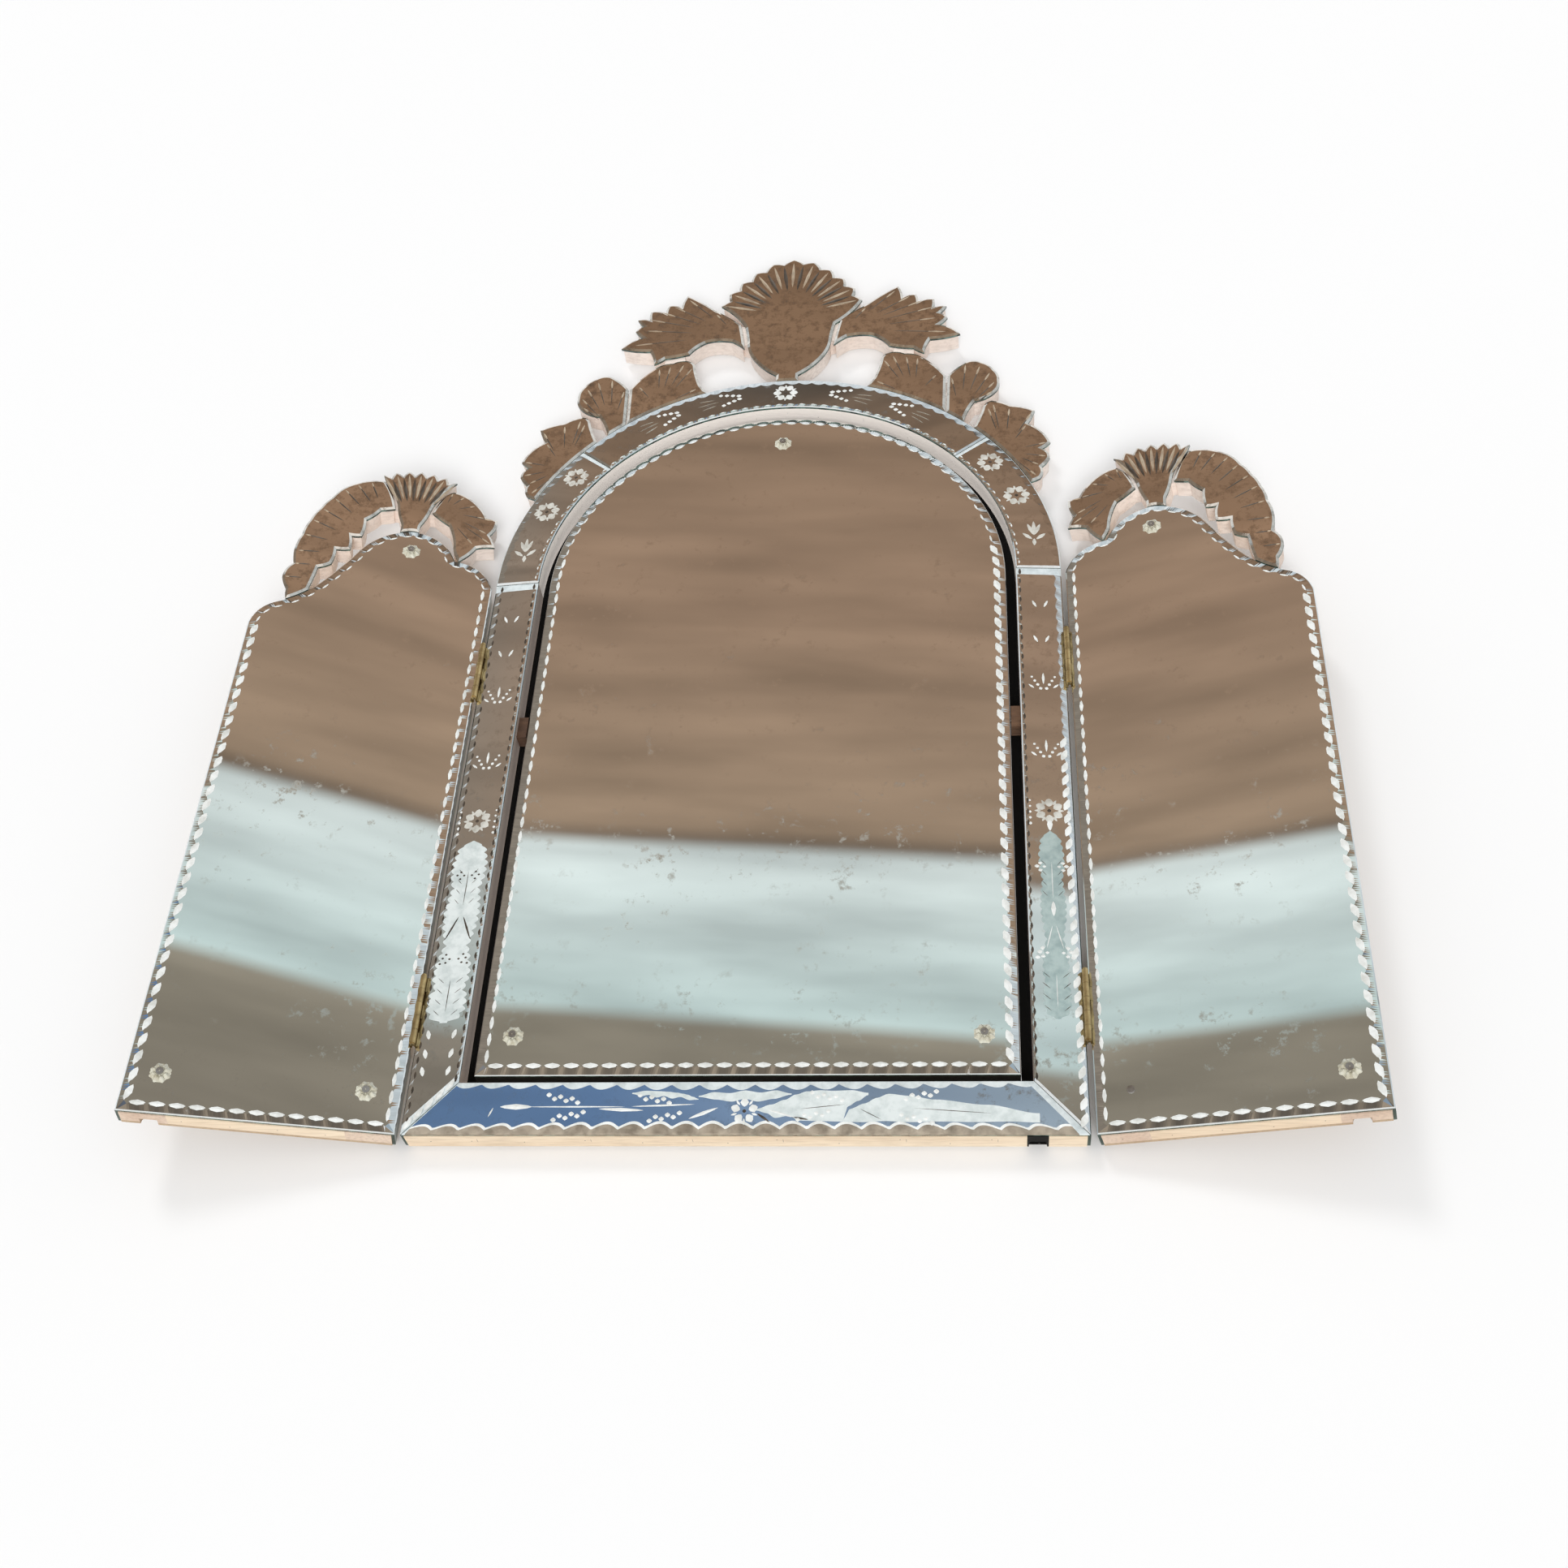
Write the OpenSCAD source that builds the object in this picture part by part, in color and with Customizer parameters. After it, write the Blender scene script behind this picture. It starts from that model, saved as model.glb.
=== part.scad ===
// A three-part mirror of glass on wood, drawn as it stands: X runs along its width, the fronts
// face -Y, and Z is up. The origin is on the ground at the middle of the centre frame.

/* [Centre frame] */
// Width of the centre frame over its front glass
frame_w = 620; // [580:5:680]
// Height at which the arch springs from the straight sides
spring_z = 660; // [610:5:740]
// Width of the stiles and of the arch
stile_w = 48; // [42:1:56]
// Height of the bottom rail
rail_h = 51; // [45:1:58]
// Thickness of the wooden carcass
board_t = 20; // [18:1:24]
// How far the carcass rises from its outer to its inner edge
cushion_rise = 3.4; // [1:0.2:6]
// Radius of the half-round notch in each panel's foot
notch_r = 8; // [5:1:10]
// Distance of the centre frame's notch from its outer side
notch_in = 46; // [30:1:80]

/* [Glass] */
// Thickness of the mirror glass on the front
glass_t = 4; // [3:0.5:5]
// Thickness of the mirror strips on the outer sides
side_glass_t = 3; // [2:0.5:4]
// Gap left between two pieces of glass
glass_gap = 0.8; // [0.5:0.1:1.5]
// Height of the lowest edge of glass above the ground
glass_foot = 1; // [0.6:0.1:2]
// Angle above the horizontal at which the crown strip meets the haunch strips
haunch_angle = 41; // [30:1:55]

/* [Swing mirror] */
// Clear gap round the swing mirror
swing_gap = 11; // [8:0.5:14]
// Thickness of the swing mirror's back board
swing_board_t = 12; // [10:0.5:14]
// How far the swing mirror's glass lies behind the outer edge of the front glass
swing_recess = 5; // [3:0.5:6]
// Height of the pivots
pivot_z = 466; // [440:2:490]
// Height of a wooden pivot block
pivot_block_h = 26; // [18:1:36]
// Depth of a wooden pivot block
pivot_block_d = 16; // [12:1:17]
// Clear gap between a pivot block and the swing mirror
block_clearance = 1; // [0.5:0.1:1.5]
// Radius of the pivot pins
pivot_pin_r = 3; // [2:0.25:3.5]
// Depth of the pivot pins in the swing board
pin_in_board = 30; // [20:1:45]
// Depth of the pivot pins in the stiles
pin_in_stile = 18; // [12:1:26]
// Clearance round a pin that turns
pin_clearance = 0.05; // [0.02:0.01:0.1]

/* [Wings] */
// Width of a wing over its front glass
wing_w = 250; // [235:5:270]
// Height of a wing's inner side, up to its shoulder
wing_inner_h = 652; // [640:2:660]
// Height of a wing's outer side, up to its shoulder
wing_outer_h = 572; // [560:2:584]
// Height of a wing at the top of its dome
wing_dome_h = 727; // [715:1:740]
// Distance of the dome's top from the wing's inner side
wing_dome_in = 98; // [94:1:102]
// Distance of the cusp beside the dome from the wing's inner side
wing_cusp_in = 46; // [44:1:50]
// How far that cusp lies below the dome's top
wing_cusp_down = 37; // [30:1:44]
// Width of the rounded shoulder on a wing's outer side
wing_shoulder_w = 28; // [20:1:34]
// Width of a wing's stiles
wing_stile_w = 45; // [40:1:52]
// Height of a wing's bottom rail
wing_rail_h = 60; // [50:1:70]
// Height of a wing's top rail where it is lowest
wing_top_rail_h = 70; // [60:1:80]
// Thickness of a wing's plywood back
wing_back_t = 4; // [3:0.5:5]
// Gap between a wing and the centre frame when they are in line
wing_gap = 4; // [3.6:0.1:5]
// How far a wing stands folded forward, in degrees
wing_fold = 12; // [8:1:25]
// Distance of a wing's notch from its inner side
wing_notch_in = 222; // [215:1:225]

/* [Hinges] */
// Height of a hinge
hinge_h = 72; // [60:1:84]
// Height of the middle of the lower hinge
hinge_low_z = 127; // [110:1:180]
// Height of the middle of the upper hinge
hinge_high_z = 536; // [500:1:545]
// Thickness of a hinge leaf
leaf_t = 1.5; // [1.1:0.1:1.6]
// Outer radius of a hinge knuckle
knuckle_r = 3; // [2.7:0.1:3.2]
// Radius of a hinge pin
hinge_pin_r = 1.5; // [1.2:0.1:1.7]
// How far the hinge pin stands in front of the glass
knuckle_forward = 3; // [2.9:0.1:4]
// Gap between two knuckles of one hinge
knuckle_gap = 0.3; // [0.2:0.1:0.6]

/* [Crests] */
// Thickness of the mirror glass on the crests
crest_glass_t = 4; // [3:0.5:5]
// Height of the centre crest above the arch
crest_h = 220; // [210:1:235]
// Radius of the fan of the centre shell
shell_r = 90; // [84:1:96]
// How far the middle rib of the centre shell stands above that fan
shell_rise = 15; // [5:1:20]
// Number of ribs of the centre shell
shell_ribs = 11; // [9:2:13]
// Radius of the fan of a wing's shell
wing_shell_r = 84; // [78:1:88]
// Number of ribs of a wing's shell
wing_shell_ribs = 7; // [5:2:9]
// Depth of the notches between two ribs
rib_notch = 7; // [4:0.5:10]
// Share of a glass outline that the wood behind it fills
fret_share = 0.97; // [0.95:0.005:0.98]
// Distance along the arch from the crown to the middle of a lower leaf
lower_leaf_s = 162; // [158:1:166]
// Distance along the arch from the crown to the middle of a haunch leaf
haunch_leaf_s = 298; // [290:1:306]
// Length of the steel plates behind a crest
plate_l = 60; // [56:1:66]
// Width of the steel plates behind a crest
plate_w = 16; // [14:1:18]
// Thickness of the steel plates behind a crest
plate_t = 2; // [1.5:0.5:3]

/* [Fasteners] */
// Radius of the glass rosettes
rosette_r = 10; // [8:0.5:12]
// Height of the glass rosettes
rosette_h = 4; // [3:0.5:5]
// Distance of the lower rosettes from the sides of a plate
rosette_in = 32; // [26:1:38]
// Height of the lower rosettes above the foot of a plate
rosette_up = 40; // [30:1:50]
// Distance of the swing mirror's top rosette from its top
swing_rosette_down = 42; // [30:1:50]
// Distance of a wing's top rosette from its dome
wing_rosette_down = 31; // [26:1:40]
// Radius of a screw's shank
screw_r = 1.75; // [1.25:0.25:2]
// Clearance round a screw where it passes glass
screw_clearance = 0.3; // [0.2:0.1:0.5]
// Radius of a screw's head
screw_head_r = 3.5; // [3:0.25:4]
// Height of a screw's head
screw_head_h = 1.2; // [1:0.1:1.4]
// Length of a screw's shank in the wood
screw_l = 10; // [8:0.5:11]

/* [Hidden] */
$fn = 64;
back_y = board_t / 2;
front_y = -board_t / 2;
glass_y = front_y - glass_t;
crest_glass_y = front_y - crest_glass_t;
arch_r = frame_w / 2;
wood_r = arch_r - side_glass_t;
open_r = arch_r - stile_w;
crown_z = spring_z + arch_r;
swing_r = open_r - swing_gap;
swing_foot = rail_h + swing_gap;
swing_glass_y = glass_y + swing_recess;
swing_front_y = swing_glass_y + glass_t;
swing_back_y = swing_front_y + swing_board_t;
pivot_y = (swing_front_y + swing_back_y) / 2;
wing_back_y = back_y - wing_back_t;
wing_top_rail_z = wing_outer_h - wing_top_rail_h;
wing_wood_r = wing_w - side_glass_t;
// The hinge pin stands between the two panels, in front of their glass
pin_x = arch_r + wing_gap / 2;
pin_y = glass_y - knuckle_forward;
hinge_zs = [hinge_low_z, hinge_high_z];
seat_h = hinge_h + 2 * glass_gap;
knuckles = 5;
knuckle_h = (hinge_h - (knuckles - 1) * knuckle_gap) / knuckles;
leaf_clear = 0.1;
leaf_y0 = front_y + 0.5;
leaf_y1 = back_y - 2;
// A pin's ends stand past its hinge and carry a small round tip
pin_tip_h = 1.5;
pin_tip_r = hinge_pin_r + 0.7;
// Screws of a hinge leaf, from the middle of the hinge
leaf_screw_zs = [-hinge_h / 3, 0, hinge_h / 3];
leaf_screw_y = (leaf_y0 + leaf_y1) / 2 + 1;
// Screws of a steel plate, [across, up] from its middle
plate_screws = [[-plate_w / 4, -plate_l * 0.4], [plate_w / 4, -plate_l * 0.2],
    [-plate_w / 4, plate_l * 0.22], [plate_w / 4, plate_l * 0.4]];
// Gap between the wood of a crest and the arch that it stands on
fret_gap = 0.1;
through = 200;
bow_steps = 5;
wood = [0.83, 0.69, 0.57];
ply = [0.78, 0.63, 0.48];
mirror_tint = [0.62, 0.66, 0.66];
green_glass = [0.35, 0.42, 0.38];
brass = [0.72, 0.58, 0.32];
steel = [0.6, 0.6, 0.6];
cream = [0.86, 0.83, 0.7];

// Outlines run clockwise. Each corner is [x, z, bow], and the edge to the next corner bows
// outwards by half of bow times its length, or inwards where bow is negative.
function bowed_edge(p, q) = [for (i = [0:bow_steps - 1])
    let (t = i / bow_steps,
        m = [(p[0] + q[0]) / 2 - p[2] * (q[1] - p[1]), (p[1] + q[1]) / 2 + p[2] * (q[0] - p[0])])
    [for (k = [0, 1]) (1 - t) * (1 - t) * p[k] + 2 * t * (1 - t) * m[k] + t * t * q[k]]];
function bowed(corners) = [for (i = [0:len(corners) - 1])
    let (p = corners[i], q = corners[(i + 1) % len(corners)])
    each (p[2] == 0 ? [[p[0], p[1]]] : bowed_edge(p, q))];
function middle(points) = [for (k = [0, 1])
    let (v = [for (p = points) p[k]]) (min(v) + max(v)) / 2];
// The same corners on the other side of x = about, in clockwise order again
function across(corners, about = 0) = [for (i = [len(corners) - 1:-1:0])
    [2 * about - corners[i][0], corners[i][1], i > 0 ? corners[i - 1][2] : 0]];

// A flat piece cut to an outline in the XZ plane, from y to y + t
module cut_piece(points, y, t) {
    translate([0, y + t, 0]) rotate([90, 0, 0]) linear_extrude(t) polygon(points);
}

// The wood behind a piece of glass, a little smaller than the glass
module cut_wood(points) {
    m = middle(points);
    translate([m[0], 0, m[1]]) scale(fret_share) translate([-m[0], 0, -m[1]])
        cut_piece(points, front_y / fret_share, board_t / fret_share);
}

module rod_y(x, z, r, y0, y1) {
    translate([x, y1, z]) rotate([90, 0, 0]) cylinder(r = r, h = y1 - y0);
}

module rod_x(x0, x1, y, z, r) {
    translate([x0, y, z]) rotate([0, 90, 0]) cylinder(r = r, h = x1 - x0);
}

module block(x0, x1, y0, y1, z0, z1) {
    translate([x0, y0, z0]) cube([x1 - x0, y1 - y0, z1 - z0]);
}

// Mirrors what follows to the left side where side is -1
module on_side(side) {
    if (side > 0) children();
    else mirror([1, 0, 0]) children();
}

// The front of the carcass slopes forward from the outer edge to the opening
function slope_y(r) = front_y - cushion_rise * (arch_r - r) / stile_w;
function wood_section(r1) = [[open_r, back_y], [r1, back_y], [r1, slope_y(r1)],
    [open_r, slope_y(open_r)]];
strip_section = [[open_r, slope_y(open_r)], [arch_r, front_y], [arch_r, glass_y],
    [open_r, slope_y(open_r) - glass_t]];

// A stretch of the arch between two angles above the horizontal
module arch_stretch(section, a0, a1) {
    translate([0, 0, spring_z]) rotate([-90, 0, 0]) rotate([0, 0, -a1])
        rotate_extrude(angle = a1 - a0, $fn = 180) polygon(section);
}

// A straight stretch of the frame's side, above a mitre that ends lift above the outer corner
module side_stretch(section, lift) {
    intersection() {
        linear_extrude(spring_z) polygon(section);
        cut_piece([[arch_r, lift], [open_r, rail_h + lift], [open_r, spring_z],
            [arch_r, spring_z]], -through / 2, through);
    }
}

// A point on the arch's outer edge, distance s along it from the crown
module on_arch(s) {
    translate([0, 0, spring_z]) rotate([0, s / arch_r * 180 / PI, 0])
        translate([0, 0, arch_r]) children();
}

module arch_disc(gap) {
    translate([0, through / 2, spring_z]) rotate([90, 0, 0])
        cylinder(r = arch_r + gap, h = through, $fn = 180);
}

// Fasteners
module screw_x(x, y, z) {
    rod_x(x - screw_l, x, y, z, screw_r);
    rod_x(x, x + screw_head_h, y, z, screw_head_r);
}

module screw_back(x, z, y, wood_y) {
    rod_y(x, z, screw_r, wood_y - screw_l, y);
    rod_y(x, z, screw_head_r, y, y + screw_head_h);
}

module screw_front(x, z, y, wood_y) {
    rod_y(x, z, screw_r, y, wood_y + screw_l);
    rod_y(x, z, screw_head_r, y - screw_head_h, y);
}

// The screws of the two hinge leaves on a face at x, which the leaves stand on
module leaf_screws(x) {
    for (z = hinge_zs, dz = leaf_screw_zs) screw_x(x + leaf_t, leaf_screw_y, z + dz);
}

module steel_plate() {
    block(-plate_w / 2, plate_w / 2, back_y, back_y + plate_t, -plate_l / 2, plate_l / 2);
}

module plate_screw_set() {
    for (p = plate_screws) screw_back(p[0], p[1], back_y + plate_t, back_y);
}

// The five places on the arch where a steel plate holds the crest
module crest_plate_places() {
    for (s = [-haunch_leaf_s, -lower_leaf_s, 0, lower_leaf_s, haunch_leaf_s]) on_arch(s) children();
}

module crest_plate_screws() {
    crest_plate_places() plate_screw_set();
}

// Centre frame, wood
module frame_stile(side) {
    color(wood) on_side(side) difference() {
        side_stretch(wood_section(wood_r), 0);
        rod_x(open_r - 1, open_r + pin_in_stile, pivot_y, pivot_z, pivot_pin_r + pin_clearance);
        leaf_screws(wood_r);
    }
}

module frame_bottom_rail() {
    color(wood) difference() {
        intersection() {
            translate([-wood_r, 0, 0]) rotate([90, 0, 90]) linear_extrude(2 * wood_r)
                polygon([[back_y, 0], [front_y, 0], [slope_y(open_r), rail_h],
                    [back_y, rail_h]]);
            cut_piece([[-arch_r, 0], [-open_r, rail_h], [open_r, rail_h], [arch_r, 0]],
                -through / 2, through);
        }
        rod_y(arch_r - notch_in, 0, notch_r, 0, back_y + 1);
    }
}

module frame_arch(side) {
    color(wood) difference() {
        on_side(side) arch_stretch(wood_section(arch_r), 0, 90);
        crest_plate_screws();
    }
}

module pivot_blocks() {
    color(wood) for (side = [-1, 1]) on_side(side) difference() {
        block(swing_r + block_clearance, open_r, pivot_y - pivot_block_d / 2,
            pivot_y + pivot_block_d / 2, pivot_z - pivot_block_h / 2,
            pivot_z + pivot_block_h / 2);
        rod_x(swing_r, open_r + 1, pivot_y, pivot_z, pivot_pin_r + pin_clearance);
    }
}

// Centre frame, glass
module strip_bottom() {
    color(mirror_tint) intersection() {
        translate([-arch_r, 0, 0]) rotate([90, 0, 90]) linear_extrude(2 * arch_r)
            polygon([[front_y, 0], [glass_y, 0], [slope_y(open_r) - glass_t, rail_h],
                [slope_y(open_r), rail_h]]);
        cut_piece([[-arch_r, 0], [-open_r, rail_h], [open_r, rail_h], [arch_r, 0]],
            -through / 2, through);
        block(-arch_r, arch_r, -through / 2, through / 2, glass_foot, rail_h);
    }
}

module strip_side(side) {
    color(mirror_tint) on_side(side) intersection() {
        side_stretch(strip_section, glass_gap);
        block(0, arch_r, -through / 2, through / 2, 0, spring_z - glass_gap / 2);
    }
}

// Half a glass gap, as an angle on the arch
half_gap = glass_gap / 2 / arch_r * 180 / PI;

module strip_haunch(side) {
    color(mirror_tint) on_side(side)
        arch_stretch(strip_section, half_gap, haunch_angle - half_gap);
}

module strip_crown() {
    color(mirror_tint)
        arch_stretch(strip_section, haunch_angle + half_gap, 180 - haunch_angle - half_gap);
}

// Strips on one upright side, from x0 to x1, broken at the hinge seats where seats is true
module side_strips(x0, x1, top, seats) {
    ends = seats ? [glass_foot, hinge_low_z - seat_h / 2, hinge_low_z + seat_h / 2,
        hinge_high_z - seat_h / 2, hinge_high_z + seat_h / 2, top] : [glass_foot, top];
    for (i = [0:2:len(ends) - 2]) block(x0, x1, front_y, back_y, ends[i], ends[i + 1]);
}

module frame_side_glass() {
    color(green_glass) for (side = [-1, 1]) on_side(side)
        side_strips(wood_r, arch_r, spring_z, true);
}

// Crest of the centre frame. Outlines are given from the crown, or from a point on the arch.
shell_centre_z = crest_h - shell_r - shell_rise;
shell_step = 150 / (shell_ribs - 1);
function shell_tip(k) = let (a = k * shell_step, r = shell_r + shell_rise * pow(cos(a), 8))
    [r * sin(a), shell_centre_z + r * cos(a), 0.12];
function shell_notch(k) = let (a = k * shell_step,
        r = shell_r - rib_notch + shell_rise * pow(cos(a), 8))
    [r * sin(a), shell_centre_z + r * cos(a), 0.12];
shell_flank = [[-13, -8, 0], [-13, 10, 0.12], [-44, 44, 0.12], [-51, 72, -0.02],
    [-55, 98, -0.12]];
shell_half = (shell_ribs - 1) / 2;
shell_fan = [for (k = [-shell_half:0.5:shell_half]) k == floor(k) ? shell_tip(k) : shell_notch(k)];
shell_corners = concat(shell_flank, shell_fan, across(shell_flank));
leaf_corners = [[54, 60, 0.02], [61, 103, 0.05], [93, 130, 0.05], [131, 161, 0.1],
    [137, 140, 0.25], [153, 144, 0.1], [156, 130, 0.25], [175, 134, 0.1], [175, 119, 0.25],
    [190, 120, 0.1], [182, 108, 0.25], [191, 99, 0.1], [181, 87, 0.2], [206, 69, 0.08],
    [170, 62, -0.1], [163, 39, 0.1], [150, 48, 0.05], [121, 54, -0.15], [100, 74, -0.15],
    [69, 73, -0.05]];
lower_leaf_corners = [[-64, -14, 0.02], [-64, 9, -0.05], [-74, 44, 0.25], [-70, 56, 0.2],
    [-53, 62, 0.12], [-39, 67, 0.1], [10, 50, 0], [44, -12, 0]];
lobe_corners = [[46, -12, 0], [12, 51, 0.1], [21, 83, 0.25], [37, 89, 0.2], [56, 84, 0.2],
    [70, 71, 0.2], [75, 54, 0.2], [61, 28, -0.1], [68, -14, 0]];
haunch_corners = [[-49, -12, -0.05], [-76, 26, 0.25], [-77, 38, 0.1], [-57, 50, 0.1],
    [-33, 67, 0.08], [-21, 48, 0.2], [19, 50, 0.1], [21, 37, 0.3], [38, 35, 0.1],
    [44, 19, 0.3], [57, 7, 0.1], [52, -12, 0]];
// Wood that ties the leaves to the shell and to each other, behind the glass
shell_web = [[42, 64], [44, 98], [66, 104], [78, 90], [68, 76]];
leaf_web = [[125, 30], [127, 62], [150, 60], [151, 28]];
lobe_web = [[172, -72], [172, -14], [200, -10], [204, -76]];

module on_crown() {
    translate([0, 0, crown_z]) children();
}

module crest_fret() {
    color(wood) difference() {
        union() {
            on_crown() cut_wood(bowed(shell_corners));
            for (side = [-1, 1]) on_side(side) {
                on_crown() cut_wood(bowed(leaf_corners));
                on_arch(lower_leaf_s) cut_wood(bowed(lower_leaf_corners));
                on_arch(lower_leaf_s) cut_wood(bowed(lobe_corners));
                on_crown() for (web = [shell_web, leaf_web, lobe_web])
                    cut_piece(web, front_y, board_t);
            }
        }
        arch_disc(fret_gap);
        crest_plate_screws();
    }
}

module haunch_frets() {
    color(wood) for (side = [-1, 1]) difference() {
        on_side(side) on_arch(haunch_leaf_s) cut_wood(bowed(haunch_corners));
        arch_disc(fret_gap);
        crest_plate_screws();
    }
}

module crest_shell_glass() {
    color(mirror_tint) difference() {
        on_crown() cut_piece(bowed(shell_corners), crest_glass_y, crest_glass_t);
        arch_disc(glass_gap);
    }
}

module crest_leaf_glass(side) {
    color(mirror_tint) on_side(side) on_crown()
        cut_piece(bowed(leaf_corners), crest_glass_y, crest_glass_t);
}

module crest_lower_glass(side) {
    color(mirror_tint) on_side(side) for (corners = [lower_leaf_corners, lobe_corners])
        difference() {
            on_arch(lower_leaf_s) cut_piece(bowed(corners), crest_glass_y, crest_glass_t);
            arch_disc(glass_gap);
        }
}

module haunch_leaf_glass() {
    color(mirror_tint) for (side = [-1, 1]) on_side(side) difference() {
        on_arch(haunch_leaf_s) cut_piece(bowed(haunch_corners), crest_glass_y, crest_glass_t);
        arch_disc(glass_gap);
    }
}

module crest_plates() {
    color(steel) crest_plate_places() difference() {
        steel_plate();
        plate_screw_set();
    }
}

module frame_screws() {
    color(steel) {
        crest_plate_screws();
        for (side = [-1, 1]) on_side(side) leaf_screws(wood_r);
    }
}

// Hinges. A leaf stands on the wood at x = wood, bends round the edge of the front glass at
// x = edge, and ends in its knuckles on the pin.
function knuckle_z(i) = -hinge_h / 2 + i * (knuckle_h + knuckle_gap);

module hinge_leaf(face, edge, first, bore_r) {
    arm_x = edge + leaf_clear;
    for (z = hinge_zs) translate([0, 0, z]) difference() {
        union() {
            block(face, face + leaf_t, leaf_y0, leaf_y1, -hinge_h / 2, hinge_h / 2);
            block(face, arm_x + leaf_t, leaf_y0, leaf_y0 + leaf_t, -hinge_h / 2, hinge_h / 2);
            for (i = [first:2:knuckles - 1]) {
                block(arm_x, arm_x + leaf_t, pin_y, leaf_y0 + leaf_t, knuckle_z(i),
                    knuckle_z(i) + knuckle_h);
                translate([pin_x, pin_y, knuckle_z(i)]) cylinder(r = knuckle_r, h = knuckle_h);
            }
        }
        translate([pin_x, pin_y, -hinge_h]) cylinder(r = bore_r, h = 2 * hinge_h);
        for (dz = leaf_screw_zs) screw_x(face + leaf_t, leaf_screw_y, dz);
    }
}

module hinge_frame_leaves() {
    color(brass) for (side = [-1, 1]) on_side(side)
        hinge_leaf(wood_r, arch_r, 0, hinge_pin_r);
}

module hinge_pins() {
    color(brass) for (side = [-1, 1], z = hinge_zs) on_side(side) translate([pin_x, pin_y, z]) {
        translate([0, 0, -hinge_h / 2]) cylinder(r = hinge_pin_r, h = hinge_h);
        for (end = [-hinge_h / 2 - pin_tip_h, hinge_h / 2])
            translate([0, 0, end]) cylinder(r = pin_tip_r, h = pin_tip_h);
    }
}

// Swing mirror
swing_outline = concat([[-swing_r, swing_foot], [-swing_r, spring_z]],
    [for (a = [177:-3:3]) [swing_r * cos(a), spring_z + swing_r * sin(a)]],
    [[swing_r, spring_z], [swing_r, swing_foot]]);
swing_rosette_places = [[swing_rosette_in(-1), swing_foot + rosette_up],
    [swing_rosette_in(1), swing_foot + rosette_up],
    [0, spring_z + swing_r - swing_rosette_down]];
function swing_rosette_in(side) = side * (swing_r - rosette_in);

// An arched plate: straight sides up to the spring, and a half disc on top
module arched_plate(y, t) {
    block(-swing_r, swing_r, y, y + t, swing_foot, spring_z);
    intersection() {
        rod_y(0, spring_z, swing_r, y, y + t, $fn = 180);
        block(-swing_r, swing_r, y, y + t, spring_z, spring_z + swing_r);
    }
}

module swing_board() {
    color(ply) difference() {
        arched_plate(swing_front_y, swing_board_t);
        swing_screws();
        pivot_pins();
    }
}

module swing_glass() {
    color(mirror_tint) difference() {
        arched_plate(swing_glass_y, glass_t);
        for (p = swing_rosette_places)
            rod_y(p[0], p[1], screw_r + screw_clearance, swing_glass_y - 1, swing_front_y + 1);
    }
}

module rosette(x, z, y) {
    difference() {
        rod_y(x, z, rosette_r, y - rosette_h, y);
        rod_y(x, z, screw_r + screw_clearance, y - rosette_h - 1, y + 1);
    }
}

module swing_rosettes() {
    color(cream) for (p = swing_rosette_places) rosette(p[0], p[1], swing_glass_y);
}

module swing_screws() {
    color(steel) for (p = swing_rosette_places)
        screw_front(p[0], p[1], swing_glass_y - rosette_h, swing_front_y);
}

module pivot_pins() {
    color(steel) for (side = [-1, 1]) on_side(side)
        rod_x(swing_r - pin_in_board, open_r + pin_in_stile - 1, pivot_y, pivot_z, pivot_pin_r);
}

// Wings, drawn in line with the frame, from x = 0 at the inner side to x = wing_w
function wing_outline() = bowed([[0, 0, 0], [0, wing_inner_h, 0.35],
    [wing_cusp_in, wing_dome_h - wing_cusp_down, 0.3], [wing_dome_in, wing_dome_h, 0.22],
    [wing_dome_in + 51, wing_dome_h - 32, -0.04], [wing_w - 63, wing_dome_h - 91, -0.1],
    [wing_w - wing_shoulder_w, wing_outer_h + 36, 0.3], [wing_w, wing_outer_h, 0],
    [wing_w, 0, 0]]);
wing_rosette_places = [[rosette_in, rosette_up], [wing_w - rosette_in, rosette_up],
    [wing_dome_in - 3, wing_dome_h - wing_rosette_down]];
// The right wing has lost the rosette nearest the centre frame
function kept_rosettes(side) = side > 0 ? [1, 2] : [0, 1, 2];
wing_plate_places = [[wing_dome_in + 4, wing_dome_h + 2], [wing_w - 38, wing_outer_h + 46]];
back_screw_places = [for (x = [wing_stile_w / 2, wing_w - wing_stile_w / 2],
    z = [0.2, 0.5, 0.8]) [x, z * wing_outer_h]];

module place_wing(side) {
    on_side(side) translate([pin_x, pin_y, 0]) rotate([0, 0, -wing_fold])
        translate([wing_gap / 2, -pin_y, 0]) children();
}

// The wood of a wing between two sides and two heights, cut to the wing's outline
module wing_wood(x0, x1, z0, z1) {
    intersection() {
        cut_piece(wing_outline(), front_y, wing_back_y - front_y);
        block(x0, x1, front_y, wing_back_y, z0, z1);
    }
}

module wing_hinge_screws() {
    mirror([1, 0, 0]) leaf_screws(-side_glass_t);
}

module wing_rosette_screw(side, i) {
    p = wing_rosette_places[i];
    kept = len([for (k = kept_rosettes(side)) if (k == i) k]) > 0;
    screw_front(p[0], p[1], glass_y - (kept ? rosette_h : 0), front_y);
}

module wing_plate_screws() {
    for (p = wing_plate_places) translate([p[0], 0, p[1]])
        for (q = plate_screws) screw_back(q[0], q[1], back_y + plate_t, wing_back_y);
}

module wing_back_screws() {
    for (p = back_screw_places) screw_back(p[0], p[1], back_y, wing_back_y);
}

module all_wing_screws(side) {
    wing_hinge_screws();
    for (i = [0:2]) wing_rosette_screw(side, i);
    wing_plate_screws();
    wing_back_screws();
}

module wing_notch() {
    rod_y(wing_notch_in, 0, notch_r, 0, back_y + 1);
}

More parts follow.
